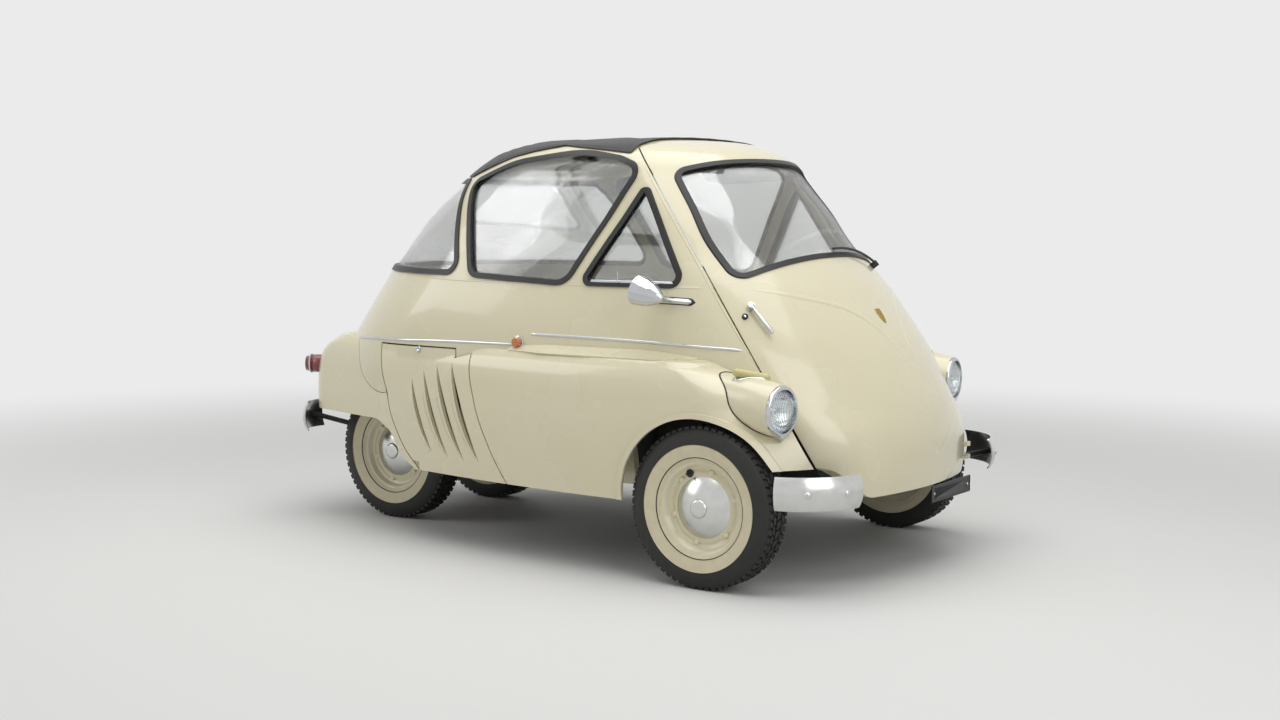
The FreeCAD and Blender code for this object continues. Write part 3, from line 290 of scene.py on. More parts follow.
# Columns: name, thread spacing in millimetres, valley tone, which paints the shade between the threads,
# crown tone, roughness, sheen.
CLOTHS = (
    ("rubberised_cotton_duck", 3.0, "#111112", "#2B2A2B", 0.62, 0.15),
    ("woven_seat_cloth", 4.0, "#6E6250", "#9A8C75", 0.85, 0.4),
)
for name, thread, dark, light, roughness, sheen in CLOTHS:
    cloths[name], tree, shader, place = material(name)
    warp, weft = [add(tree, "ShaderNodeTexWave", {"bands_direction": way}, Vector=place,
                      Scale=wave_length_mm / thread).outputs["Fac"] for way in "XY"]
    weave = add(tree, "ShaderNodeMath", MULTIPLY, in0=warp, in1=weft).outputs[0]
    wear = add(tree, "ShaderNodeTexNoise", Vector=place, Scale=11.0, Detail=4.0).outputs["Fac"]
    worn = add(tree, "ShaderNodeMapRange", Value=wear, From_Min=0.3, From_Max=0.7, To_Max=0.5)
    both = add(tree, "ShaderNodeMath", {"operation": "ADD"}, in0=weave, in1=worn.outputs["Result"])
    # The tone is darker where the threads dip, as painted shade between the threads, and lighter in random
    # worn patches.
    tone = add(tree, "ShaderNodeMix", BLEND, in0=both.outputs[0], in6=linear(dark), in7=linear(light))
    bump = add(tree, "ShaderNodeBump", Height=weave, Distance=0.0003, Strength=0.7)
    wire(tree, shader, Base_Color=tone.outputs[2], Roughness=roughness, Sheen_Weight=sheen,
         Normal=bump.outputs["Normal"])
canvas = cloths["rubberised_cotton_duck"]
seat_cloth = cloths["woven_seat_cloth"]
print("made", sorted(cloths))

# %% [markdown]
# ## Which finish goes where
# The record names a material slot for each solid. This table turns slots into finishes.

# %% Finishes by slot
finishes = {
    "cream_paint": enamel, "black_rubber": coverings["extruded_black_rubber"],
    "window_glass": glass, "roof_canvas": canvas, "black_paint": coverings["chassis_black_paint"],
    "cast_steel": metals["oiled_cast_steel"], "polished_aluminium": metals["polished_aluminium"],
    "plate_black": coverings["blank_plate_enamel"], "tyre_rubber": tyre_rubber,
    "engine_iron": metals["rough_iron_casting"], "seat_fabric": seat_cloth,
    "chrome_trim": metals["chrome_plate"], "lamp_glass": lamp_glass,
    "reflector": metals["silvered_reflector"], "wheel_plastic": coverings["ivory_celluloid"],
    "black_plastic": coverings["moulded_black_phenolic"],
    "amber_lens": lenses["amber_ribbed_lens"], "red_lens": lenses["red_ribbed_lens"],
}
finish_of = {name: finishes[slot_of[name]] for name in nodes}
finish_of["parking_lamps"] = coverings["aged_lens_resin"]
print("finishes", len(finishes), "for", len(finish_of), "solids")

# %% [markdown]
# ## The egg, as a rule
# The cabin and the wings are lofts: a plan outline of tangent arcs at each height. The solids
# come as flat triangles, and enamel shows every one of them. Shading them smooth by their own
# corners leaves ripples, because the triangles are long and thin. The rule behind the shape is
# known, so the true direction of the surface at any point is worked out from it instead.

# %% Level tables of the two forms
# Columns: height, nose, nose arc, front corner arc, half width, where it is widest, side arc,
# tail, tail arc, rear corner arc.
CABIN_LEVELS = (
    (235, 404, 1160, 240, 540, -700, 5000, -1745, 480, 660),
    (300, 423, 1080, 240, 556, -720, 5000, -1775, 490, 660),
    (366, 430, 960, 250, 570, -740, 5000, -1793, 500, 660),
    (440, 427, 810, 270, 582, -760, 5000, -1802, 510, 660),
    (515, 405, 670, 290, 592, -780, 5000, -1802, 520, 660),
    (600, 362, 650, 300, 600, -800, 5000, -1782, 530, 660),
    (690, 305, 650, 310, 596, -840, 5500, -1724, 535, 660),
    (770, 244, 650, 300, 584, -870, 6000, -1662, 535, 650),
    (855, 172, 650, 270, 563, -850, 6000, -1600, 520, 640),
    (940, 88, 650, 216, 538, -740, 5500, -1534, 500, 610),
    (1036, 9, 650, 165, 506, -640, 4500, -1452, 475, 570),
    (1126, -68, 640, 125, 482, -580, 3400, -1345, 455, 540),
    (1187, -120, 620, 110, 464, -555, 2800, -1260, 438, 520),
    (1232, -160, 600, 100, 442, -545, 2500, -1190, 415, 490),
    (1264, -205, 560, 100, 408, -550, 2200, -1128, 383, 450),
    (1287, -262, 480, 95, 350, -565, 1900, -1055, 325, 390),
    (1301, -336, 360, 80, 262, -585, 1500, -980, 240, 300),
    (1308, -430, 240, 60, 165, -610, 1000, -893, 148, 200),
)
WING_LEVELS = (
    (235, 404, 1160, 130, 650, -250, 4900, -1790, 1500, 110),
    (300, 423, 1080, 140, 660, -250, 4900, -1806, 1500, 115),
    (366, 430, 960, 150, 667, -250, 4900, -1815, 1500, 120),
    (440, 422, 860, 150, 670, -250, 4900, -1820, 1500, 125),
    (515, 345, 900, 130, 668, -250, 4900, -1818, 1500, 130),
    (570, 285, 1000, 120, 664, -250, 4900, -1804, 1500, 130),
    (606, 225, 1000, 110, 656, -250, 4900, -1776, 1500, 130),
    (632, 160, 1000, 100, 644, -250, 4900, -1734, 1500, 130),
    (650, 70, 1000, 90, 626, -250, 4900, -1674, 1500, 130),
    (661, -60, 1000, 80, 600, -250, 4900, -1594, 1500, 125),
)
print("levels", len(CABIN_LEVELS), "of the cabin and", len(WING_LEVELS), "of the wings")

# %% [markdown]
# Between two levels the measures run on a smooth curve. At any height they give one outline: a
# nose arc, a corner arc, a side arc, another corner arc and a tail arc, each tangent to the next.
# A point is outside by its distance from the centre of the arc that faces it, less that radius.


# %% Distance to the form
def level_columns(levels, heights):
    """Each column of a level table at the given heights, on a smooth curve through the rows."""
    rows = np.array(levels, float)
    known = rows[:, 0]
    slopes = np.gradient(rows, known, axis=0)
    low = np.clip(np.searchsorted(known, heights, side="right") - 1, 0, len(known) - 2)
    gap = (known[low + 1] - known[low])[:, None]
    t = ((heights - known[low]) / gap[:, 0])[:, None]
    start = (2 * t ** 3 - 3 * t ** 2 + 1) * rows[low] + (t ** 3 - 2 * t ** 2 + t) * gap * slopes[low]
    end = (3 * t ** 2 - 2 * t ** 3) * rows[low + 1] + (t ** 3 - t ** 2) * gap * slopes[low + 1]
    return (start + end).T[1:]


def joining_arc(side, side_r, end, end_r, radius, direction):
    """Centre of the corner arc that joins the side arc to an end arc, and its two limits."""
    direction = np.where(end_r < radius, -direction, direction)
    a = side_r - radius
    b = end_r - radius
    dx = end[0] - side[0]
    dy = end[1] - side[1]
    span = np.hypot(dx, dy)
    reach = (a * a - b * b + span * span) / (2 * span)
    aside = np.sqrt(np.maximum(a * a - reach * reach, 0))
    choices = []
    for sign in (-1, 1):
        choices.append((side[0] + (dx * reach - sign * dy * aside) / span,
                        side[1] + (dy * reach + sign * dx * aside) / span))
    first = direction * choices[0][0] > direction * choices[1][0]
    centre = [np.where(first, choices[0][axis], choices[1][axis]) for axis in (0, 1)]
    turn = np.where(end_r > radius, 1, -1)
    to_end = np.arctan2(turn * (centre[1] - end[1]), turn * (centre[0] - end[0]))
    to_side = np.arctan2(centre[1] - side[1], centre[0] - side[0])
    return centre, to_end, to_side


def turn_about(centre, x, y):
    """The angle of points about a centre, counted on past a half turn behind it."""
    angle = np.arctan2(y - centre[1], x - centre[0])
    return np.where(x < centre[0], np.mod(angle, 2 * math.pi), angle)


def outside_by(levels, points):
    """How far points, in millimetres from the front axle, lie outside the outline at their height."""
    x, y, z = points[:, 0], np.abs(points[:, 1]), points[:, 2]
    nose, nose_r, corner_r, half, side_x, side_r, tail, tail_r, rear_r = level_columns(levels, z)
    zero = np.zeros_like(x)
    nose_at = (nose - nose_r, zero)
    side_at = (side_x, half - side_r)
    tail_at = (tail + tail_r, zero)
    corner_at, corner_start, corner_end = joining_arc(side_at, side_r, nose_at, nose_r, corner_r, 1)
    rear_at, rear_end, rear_start = joining_arc(side_at, side_r, tail_at, tail_r, rear_r, -1)
    at_corner = turn_about(corner_at, x, y)
    at_rear = turn_about(rear_at, x, y)
    zones = [at_corner < corner_start, at_corner < corner_end, at_rear < rear_start,
             at_rear < rear_end]
    centre_x = np.select(zones, [nose_at[0], corner_at[0], side_at[0], rear_at[0]], tail_at[0])
    centre_y = np.select(zones, [nose_at[1], corner_at[1], side_at[1], rear_at[1]], tail_at[1])
    reach = np.select(zones, [nose_r, corner_r, side_r, rear_r], tail_r)
    return np.hypot(x - centre_x, y - centre_y) - reach


nose_point = np.array([[405.0, 0.0, 515.0]])
print("the nose is off its level by", round(float(outside_by(CABIN_LEVELS, nose_point)[0]), 6))

# %% [markdown]
# The direction square to the form is the way in which that distance grows fastest. It is found
# by trying a step of a millimetre each way along every axis.


# %% Directions square to the form
def drawing(points):
    """Metres in the frame to millimetres from the front axle."""
    return (np.asarray(points, float) - np.array([axle_x, 0, 0])) * 1000


def outward(levels, points):
    """Unit directions square to the form at points in the frame."""
    place = drawing(points)
    slope = np.zeros_like(place)
    for axis in range(3):
        step = np.zeros(3)
        step[axis] = 1.0  # millimetre
        slope[:, axis] = outside_by(levels, place + step) - outside_by(levels, place - step)
    return slope / np.maximum(np.linalg.norm(slope, axis=1, keepdims=True), 1e-9)


probe = outward(CABIN_LEVELS, [spot(405, 0, 515), spot(-780, -592, 515), spot(-1802, 0, 515)])
print("directions at nose, side and tail", np.round(probe, 2).tolist())

# %% [markdown]
# ## Smooth skins
# Each solid is copied, its loose triangles are merged, and edges sharper than 32 degrees stay
# crisp. On the lofted panels, every corner whose face lies along the form takes the direction
# from the rule. The copy then stands for the solid.

# %% Smooth skins
ON_CABIN = ("cabin_shell", "front_door", "window_seals", "windscreen_seal", "side_windows",
            "quarter_windows", "rear_window")
ON_WINGS = ("wing_right", "wing_left", "engine_cover", "tail_panel")
FORM_OF = dict.fromkeys(ON_CABIN, CABIN_LEVELS) | dict.fromkeys(ON_WINGS, WING_LEVELS)
print("solids along a form", len(FORM_OF))
along_form = math.cos(math.radians(20))
crisp = math.radians(32)
merge_gap = 0.00002


def new_piece(name, mesh, body, finish, slot):
    """An object for a finished mesh, riding on a body."""
    piece = linked_object(name, mesh)
    mesh.materials.clear()
    mesh.materials.append(finish)
    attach(piece, body)
    return piece


def gathered(items, key, width):
    """One property of every item, a row each."""
    values = np.zeros(len(items) * width, float)
    items.foreach_get(key, values)
    return values.reshape(-1, width)


def shade(mesh, levels=None):
    """Smooth shading with crisp edges; faces along the form take their directions from it."""
    mesh.shade_smooth()
    mesh.set_sharp_from_angle(angle=crisp)
    if levels is None:
        return
    directions = outward(levels, gathered(mesh.vertices, "co", 3))
    corners = gathered(mesh.corner_normals, "vector", 3)
    totals = [face.loop_total for face in mesh.polygons]
    flat = np.repeat(gathered(mesh.polygons, "normal", 3), totals, axis=0)
    true = directions[[loop.vertex_index for loop in mesh.loops]]
    agree = (flat * true).sum(1)
    chosen = np.abs(agree) > along_form
    corners[chosen] = true[chosen] * np.sign(agree[chosen])[:, None]
    mesh.normals_split_custom_set(corners.tolist())


# %% [markdown]
# The tyres, the seat, the canvas and the lamp glass are made anew further on, since their real
# shapes are richer than the solids. Every other solid is dressed here.


# %% Dressed solids
def dressed(name):
    """A smooth copy of a solid, in its finish, that stands for it."""
    mesh = nodes[name].data.copy()
    editing = bmesh.new()
    editing.from_mesh(mesh)
    bmesh.ops.remove_doubles(editing, verts=editing.verts, dist=merge_gap)
    editing.to_mesh(mesh)
    editing.free()
    shade(mesh, FORM_OF.get(name))
    piece = new_piece("dressed_" + name, mesh, nodes[name]["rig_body"], finish_of[name], slot_of[name])
    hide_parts(name)
    return piece


REMADE = ("canvas_roof", "seat_cushion", "seat_back", "front_tyre_right", "front_tyre_left",
          "rear_tyres", "headlamp_lenses")
pieces = {name: dressed(name) for name in sorted(nodes) if name not in REMADE}
print("dressed", len(pieces), "of", len(nodes))

# %% [markdown]
# ## Rings and turned parts
# Most of the small parts are rings of points, each joined to the next: a bolt is turned, a
# strip is swept, a lens is domed. One function skins such rings, and a ring of a single point
# closes an end. Another turns a list of (radius, height) pairs about an axis.


# %% Skins over rings
double_gap = 0.000005


def skinned(rings, looped=False):
    """A closed mesh over rings of points. Looped rings come back to the first one."""
    shape = bmesh.new()
    made = [[shape.verts.new(point) for point in ring] for ring in rings]
    size = max(len(ring) for ring in made)
    pairs = list(zip(made, made[1:])) + [(made[-1], made[0])] * looped
    for near, far in pairs:
        for k in range(size):
            after = (k + 1) % size
            corners = (near[k % len(near)], near[after % len(near)], far[after % len(far)],
                       far[k % len(far)])
            shape.faces.new(list(dict.fromkeys(corners)))
    for ring in (made[0], made[-1]):
        if len(ring) > 1 and not looped:
            shape.faces.new(ring)
    bmesh.ops.remove_doubles(shape, verts=shape.verts, dist=double_gap)
    bmesh.ops.recalc_face_normals(shape, faces=shape.faces)
    return baked(shape)


def baked(shape):
    """A mesh from an edit, which is then set free."""
    mesh = bpy.data.meshes.new("part")
    shape.to_mesh(mesh)
    shape.free()
    return mesh


def turned(profile, centre, along, steps, closed=False):
    """A mesh from (radius, height) pairs in millimetres, about an axis through a centre."""
    turn = Vector(along).to_track_quat("Z", "Y").to_matrix()
    angles = [2 * math.pi * index / steps for index in range(steps)]
    rings = [[centre + turn @ (Vector((radius * math.cos(a), radius * math.sin(a), height)) / 1000)
              for a in (angles if radius > 0 else angles[:1])] for radius, height in profile]
    return skinned(rings, closed)


def joined(meshes):
    """One mesh from several."""
    whole = bmesh.new()
    for mesh in meshes:
        whole.from_mesh(mesh)
    return baked(whole)


def fitted(name, meshes, body, look):
    """One shaded piece from several meshes, in a look: a finish and its slot."""
    mesh = joined(meshes)
    shade(mesh)
    return new_piece(name, mesh, body, *look)


print("points nearer than", double_gap * 1000, "mm are merged")

# %% [markdown]
# Small parts wear one of a few looks. A look is a finish with the name of a material slot.

# %% Looks
CREAM = (enamel, "cream_paint")
CHROME = (metals["chrome_plate"], "chrome_trim")
BRASS = (metals["aged_brass"], "chrome_trim")
ALUMINIUM = (metals["polished_aluminium"], "polished_aluminium")
SILVERED = (metals["silvered_reflector"], "reflector")
RUBBER = (coverings["extruded_black_rubber"], "black_rubber")
PLATE = (coverings["blank_plate_enamel"], "plate_black")
CANVAS = (canvas, "roof_canvas")
LAMP_GLASS = (lamp_glass, "lamp_glass")
print("looks for small parts:", len((CREAM, CHROME, BRASS, ALUMINIUM, SILVERED, RUBBER, PLATE)))

# %% [markdown]
# ## Tyres
# The carcass is turned from a half profile with two thin ribs that edge the whitewall. The
# tread is five rows of skewed blocks, moulded with a little draft so that they leave the mould.

# %% Carcass and tread blocks
# Columns: radius, half width, in millimetres, from the bead to the middle of the tread.
CARCASS = ((127.3, 37.5), (137, 45), (147, 50.2), (148.2, 51.6), (149.6, 51.4), (151, 51.2),
           (158, 54.2), (168, 56.4), (178, 57.5), (182, 57.8), (183.2, 59.2), (184.6, 59.2),
           (186, 57.9), (196, 57.2), (206, 55.2), (214, 52.6), (221, 49.8), (226, 47.4),
           (229, 44.6), (230.2, 40), (230.6, 20))
carcass_steps = 128
tread_base = 230.6
tread_top = 235.8
tread_sunk = 1.5
tread_draft = 0.7
# Columns: offset from the middle, half width, length, skew, blocks round the tyre, phase.
TREAD_ROWS = ((-38.5, 5.5, 15, 4, 64, 0.0), (-23, 6.2, 21, 6, 52, 0.5), (0, 9.5, 21, -7, 52, 0.0),
              (23, 6.2, 21, 6, 52, 0.5), (38.5, 5.5, 15, 4, 64, 0.0))


def tread_block(half_width, length, skew):
    """A skewed block with drafted sides. X is round the tyre, Y across it and Z outwards."""
    rings = []
    for z, draft in ((-tread_sunk, tread_draft), (tread_top - tread_base, 0.0)):
        rings.append([Vector((sx * (length / 2 + draft) + sy * skew / 2, sy * (half_width + draft), z))
                      / 1000 for sx, sy in ((-1, -1), (1, -1), (1, 1), (-1, 1))])
    return skinned(rings)


print("tread rows", len(TREAD_ROWS), "and", sum(row[4] for row in TREAD_ROWS), "blocks to a tyre")

# %% [markdown]
# The blocks could be placed one by one, but a Geometry Nodes tree sets one block round a whole
# ring. Its named inputs give the count, the radius, the middle of the row and its phase. The
# copies are made real at its end, and the result is taken off as a plain mesh.


# %% Ring tree
def ring_tree():
    """A Geometry Nodes tree that sets a piece round an axis along Y."""
    tree = bpy.data.node_groups.new("ring_of_pieces", "GeometryNodeTree")
    sockets = {}
    for name, kind in (("Count", "Int"), ("Radius", "Float"), ("Centre", "Vector"),
                       ("Phase", "Float"), ("Piece", "Object"), ("Finish", "Material")):
        socket = tree.interface.new_socket(name, in_out="INPUT", socket_type="NodeSocket" + kind)
        sockets[name] = socket.identifier
    tree.interface.new_socket("Geometry", in_out="OUTPUT", socket_type="NodeSocketGeometry")
    given = add(tree, "NodeGroupInput").outputs
    number = add(tree, "GeometryNodeInputIndex").outputs[0]
    shifted = add(tree, "ShaderNodeMath", {"operation": "ADD"}, in0=number, in1=given["Phase"])
    share = add(tree, "ShaderNodeMath", {"operation": "DIVIDE"}, in0=shifted.outputs[0],
                in1=given["Count"])
    angle = add(tree, "ShaderNodeMath", MULTIPLY, in0=share.outputs[0], in1=2 * math.pi).outputs[0]
    turn = add(tree, "ShaderNodeCombineXYZ", Y=angle).outputs[0]
    reach = add(tree, "ShaderNodeCombineXYZ", Z=given["Radius"]).outputs[0]
    rotated = add(tree, "ShaderNodeVectorRotate", {"rotation_type": "EULER_XYZ"}, Vector=reach,
                  Rotation=turn).outputs[0]
    place = add(tree, "ShaderNodeVectorMath", {"operation": "ADD"}, in0=rotated,
                in1=given["Centre"]).outputs[0]
    points = add(tree, "GeometryNodePoints", Count=given["Count"], Position=place).outputs[0]
    model = add(tree, "GeometryNodeObjectInfo", Object=given["Piece"]).outputs["Geometry"]
    rotation = add(tree, "FunctionNodeEulerToRotation", in0=turn).outputs[0]
    copies = add(tree, "GeometryNodeInstanceOnPoints", Points=points, Instance=model,
                 Rotation=rotation).outputs[0]
    real = add(tree, "GeometryNodeRealizeInstances", Geometry=copies).outputs[0]
    painted = add(tree, "GeometryNodeSetMaterial", Geometry=real, Material=given["Finish"])
    add(tree, "NodeGroupOutput", Geometry=painted.outputs[0])
    return tree, sockets


ring_of_pieces, ring_sockets = ring_tree()
print("ring tree nodes", len(ring_of_pieces.nodes))

# %% [markdown]
# Each tyre is its carcass and five rings of blocks, about the middle of its wheel. The front
# tyres turn with their own wheels, and the rear pair shares one axle and so one piece.


# %% Tyres
def evaluated(holder, keep=False):
    """The mesh that an object's modifiers make. The object then goes, unless it is kept."""
    graph = bpy.context.evaluated_depsgraph_get()
    mesh = bpy.data.meshes.new_from_object(holder.evaluated_get(graph))
    holder.modifiers.clear()
    if not keep:
        bpy.data.objects.remove(holder)
    return mesh


def ringed(piece_mesh, finish, **values):
    """The mesh that the ring tree makes from a piece."""
    piece = linked_object("ring_piece", piece_mesh)
    holder = linked_object("ring_holder", bpy.data.meshes.new("ring_holder"))
    modifier = holder.modifiers.new("ring", "NODES")
    modifier.node_group = ring_of_pieces
    for name, value in dict(values, Piece=piece, Finish=finish).items():
        modifier[ring_sockets[name]] = value
    mesh = evaluated(holder)
    bpy.data.objects.remove(piece)
    return mesh


def tyre_meshes(centre):
    """A carcass and its tread, about a centre."""
    outer = [(radius, -half) for radius, half in CARCASS]
    inner = [(radius, half) for radius, half in reversed(CARCASS)]
    meshes = [turned(outer + inner, centre, (0, 1, 0), carcass_steps, closed=True)]
    for offset, half_width, length, skew, count, phase in TREAD_ROWS:
        middle = centre + Vector((0, offset / 1000, 0))
        meshes.append(ringed(tread_block(half_width, length, skew), tyre_rubber, Count=count,
                             Radius=tread_base / 1000, Centre=middle, Phase=phase))
    return meshes


wheel_height = 236
rear_x = -1500
front_y = 600
rear_y = 255
# Columns: node, places along and across.
TYRES = (("front_tyre_right", ((0, -front_y),)), ("front_tyre_left", ((0, front_y),)),
         ("rear_tyres", ((rear_x, -rear_y), (rear_x, rear_y))))
for name, places in TYRES:
    meshes = [mesh for x, y in places for mesh in tyre_meshes(spot(x, y, wheel_height))]
    pieces[name] = fitted("treaded_" + name, meshes, nodes[name]["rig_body"],
                          (tyre_rubber, slot_of[name]))
    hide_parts(name)
    print(name, len(pieces[name].data.polygons))

# %% [markdown]
# ## Wheel details
# Each rim is pressed with six low bumps, a hole with a rubber valve, and a cap with a raised
# boss. All are turned buttons, set into the metal so that nothing floats. Where the bead of the
# tyre meets the rim's flange there is a thin dark step.

# %% Bumps, valves, steps and bosses
disc_offset = 24
bump_circle = 106
valve_angle = 117
cap_top = 54
# Profiles: radius and height in millimetres, from the tip to the foot.
BUMP = ((0, 3.6), (3.5, 3.4), (6.5, 2.4), (8.5, 0.8), (9.5, -2.0), (0, -2.0))
BOSS = ((0, 5.2), (14, 5.0), (21, 4.2), (25, 2.6), (27.5, -0.5), (28.5, -6.0), (0, -6.0))
STEM = ((0, 19), (2.2, 19), (2.6, 18), (2.6, 12), (3.6, 11), (4.2, 2), (6.4, 1), (7, -3), (0, -3))
HOLE = ((0, 0.6), (11, 0.6), (12.2, 0.3), (12.6, -2), (0, -2))
STEP = ((144.6, 44), (145.0, 50.0), (146.2, 51.2), (147.6, 51.3), (148.0, 50.6), (147.6, 44))
# Columns: label, body, along, across, side that faces out, angle of the first bump.
WHEELS = (("front_right", "wheel_front_right", 0, -front_y, -1, 16),
          ("front_left", "wheel_front_left", 0, front_y, 1, 44),
          ("rear_right", "rear_wheels", rear_x, -rear_y, -1, 16),
          ("rear_left", "rear_wheels", rear_x, rear_y, 1, 44))
for label, body, x, y, side, first_angle in WHEELS:
    out = (0, side, 0)
    spots = []
    for degrees in [first_angle + 60 * index for index in range(6)] + [valve_angle]:
        angle = math.radians(degrees)
        spots.append(spot(x + bump_circle * math.cos(angle), y + side * disc_offset,
                          wheel_height + bump_circle * math.sin(angle)))
    valve_spot = spots.pop()
    # Columns: name, meshes, look.
    details = (
        ("rim_bumps_", [turned(BUMP, place, out, 24) for place in spots], CREAM),
        ("valve_", [turned(HOLE, valve_spot, out, 24), turned(STEM, valve_spot, out, 20)], RUBBER),
        ("bead_step_", [turned(STEP, spot(x, y, wheel_height), out, 128, closed=True)], RUBBER),
        ("cap_boss_", [turned(BOSS, spot(x, y + side * cap_top, wheel_height), out, 48)], ALUMINIUM),
    )
    for name, meshes, look in details:
        fitted(name + label, meshes, body, look)
print("wheel details on", len(WHEELS), "wheels")

# %% [markdown]
# ## The canvas roof
# Rubberised canvas is stretched over the opening behind the header and over two bows, and it
# is drawn down over the rear of the shell. The cloth is a grid laid over the form: rows run
# from the front edge to the tail, closer together towards the tail, where the outline turns.

# %% Grid over the form
roof_front_x = -404
roof_tail_height = 1190
roof_rows = 130
roof_columns = 120
# Columns: place along, height of the canvas edge at the side.
ROOF_EDGE = ((-404, 1256), (-690, 1284), (-870, 1252), (-1086, 1190), (-1400, 1190))
halvings = 34


def halved(low, high, is_low):
    """The place between two limits where a test turns from true to false, found by halving."""
    for _ in range(halvings):
        middle = (low + high) / 2
        below = is_low(middle)
        low = np.where(below, middle, low)
        high = np.where(below, high, middle)
    return (low + high) / 2


def inside(x, y, z):
    """Whether points lie inside the cabin's form."""
    return outside_by(CABIN_LEVELS, np.stack([x, y, z], 1)) < 0


def half_width_at(levels, x, z):
    """Half width of a form at places along and heights."""
    return halved(np.zeros_like(x), np.full_like(x, 700.0),
                  lambda y: outside_by(levels, np.stack([x, y, z], 1)) < 0)


tail_height = np.array([float(roof_tail_height)])
roof_tail_x = halved(np.array([-1900.0]), np.array([-900.0]),
                     lambda x: ~inside(x, np.zeros(1), tail_height))[0]
steps = np.linspace(0, 1, roof_rows)
row_x = roof_front_x + (roof_tail_x + 0.4 - roof_front_x) * np.sin(steps * math.pi / 2)
edge_z = np.interp(-row_x, [-row[0] for row in ROOF_EDGE], [row[1] for row in ROOF_EDGE])
edge_y = half_width_at(CABIN_LEVELS, row_x, edge_z)
across = np.sin(np.linspace(-1, 1, roof_columns) * math.pi / 2)
grid_x = np.repeat(row_x, roof_columns)
grid_y = (edge_y[:, None] * across[None, :]).ravel()
grid_z = halved(np.full_like(grid_x, 1100.0), np.full_like(grid_x, 1307.9),
                lambda z: inside(grid_x, grid_y, z))
skin = np.stack([grid_x / 1000 + axle_x, grid_y / 1000, grid_z / 1000], 1)
square = outward(CABIN_LEVELS, skin)
print("roof", roof_rows, "rows, tail at", round(roof_tail_x))

# %% [markdown]
# Between two bows the cloth sags a few millimetres. Drag lines fan out from the rear corners
# of the opening, short ones pull at the front edge, and the flanks ripple a little.

# %% Sag and wrinkles
# Depths, lengths and places are in millimetres.
roof_lift = 5.0
canvas_thickness = 1.6
sag_depth = 5.0
sag_half_width = 300
edge_tuck = 2.6
tuck_share = 0.012
drag_depth = 0.9
drag_lines = 34
drag_start_y = 120
drag_middle_x = -1010
drag_length = 120
front_depth = 0.35
front_period = 17.0
front_middle_x = -420
front_length = 38
ripple_depth = 0.6
ripple_period = 41.0
ripple_wander = 1.7
ripple_half_width = 400
bows = np.array([-440, -600, -860, -1080])
bay = np.clip(np.searchsorted(-bows, -grid_x), 1, 3)
along_bay = np.clip((grid_x - bows[bay - 1]) / (bows[bay] - bows[bay - 1]), 0, 1)
aside = np.abs(grid_y)
sag = np.sin(along_bay * math.pi) ** 2 * np.clip(1 - (aside / sag_half_width) ** 4, 0, 1)
sag *= (grid_x < bows[0]) * (grid_x > bows[-1])
fan = np.arctan2(grid_x - bows[-1], aside - drag_start_y)
drag = (np.sin(fan * drag_lines) * np.exp(-(((grid_x - drag_middle_x) / drag_length) ** 2))
        * np.clip((aside - 60) / 200, 0, 1))
front_drag = (np.sin(grid_y / front_period)
              * np.exp(-((grid_x - front_middle_x) / front_length) ** 2))
ripple = (np.sin(grid_x / ripple_period + np.sin(grid_y / 90.0) * ripple_wander)
          * np.clip(aside / ripple_half_width, 0, 1) ** 2)
from_edge = np.minimum(1 - np.abs(np.tile(across, roof_rows)), np.repeat(1 - steps, roof_columns) * 1.2)
lift = (roof_lift - sag_depth * sag + drag_depth * drag + front_depth * front_drag
        + ripple_depth * ripple - edge_tuck * np.exp(-(from_edge / tuck_share)))
cloth_points = skin + square * lift[:, None] / 1000


print("deepest sag", round(float(sag.max() * sag_depth), 2), "mm")

# %% [markdown]
# The grid becomes quads, and a Solidify modifier gives the cloth its thickness on both sides.


# %% Canvas sheet
def grid_mesh(points, rows, columns):
    """A mesh of quads through points listed row by row."""
    starts = [row * columns + column for row in range(rows - 1) for column in range(columns - 1)]
    mesh = bpy.data.meshes.new("grid")
    mesh.from_pydata([tuple(point) for point in points], [],
                     [(start, start + 1, start + columns + 1, start + columns) for start in starts])
    return mesh


def solidified(mesh, thickness, offset=0.0):
    """The mesh with a thickness in millimetres."""
    holder = linked_object("holder", mesh)
    thick = holder.modifiers.new("thickness", "SOLIDIFY")
    thick.thickness = thickness / 1000
    thick.offset = offset
    return evaluated(holder)


roof_grid = grid_mesh(cloth_points, roof_rows, roof_columns)
roof = fitted("canvas_sheet", [solidified(roof_grid, canvas_thickness)],
              nodes["canvas_roof"]["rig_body"], CANVAS)
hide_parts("canvas_roof")
pieces["canvas_roof"] = roof

# %% [markdown]
# The edge of the canvas is folded over a cord and sewn down. Cords, hems and trim strips are all
# a small profile carried along a line, which stays upright on the surface below.


# %% Swept strips
def swept(points, squares, profile, closed=False):
    """A mesh that carries a profile, (aside, outwards) in millimetres, along points."""
    count = len(points)
    rings = []
    for index in range(count):
        before = points[(index - 1) % count if closed else max(index - 1, 0)]
        after = points[(index + 1) % count if closed else min(index + 1, count - 1)]
        out = Vector(squares[index])
        aside = (Vector(after) - Vector(before)).cross(out).normalized()
        outline = profile(index / (count - 1)) if callable(profile) else profile
        rings.append([Vector(points[index]) + (aside * u + out * v) / 1000 for u, v in outline])
    return skinned(rings, closed)


def half_round(width, height, sink=1.0):
    """A domed strip's profile: its flat foot is sunk into the panel."""
    arc = [(width / 2 * math.cos(a), height * math.sin(a)) for a in np.linspace(0, math.pi, 11)]
    return [(width / 2, -sink)] + arc + [(-width / 2, -sink)]


def oval(width, height, centre=0.0):
    """An oval profile."""
    turns = np.linspace(0, 2 * math.pi, 13)[:-1]
    return [(width / 2 * math.cos(a), centre + height / 2 * math.sin(a)) for a in turns]


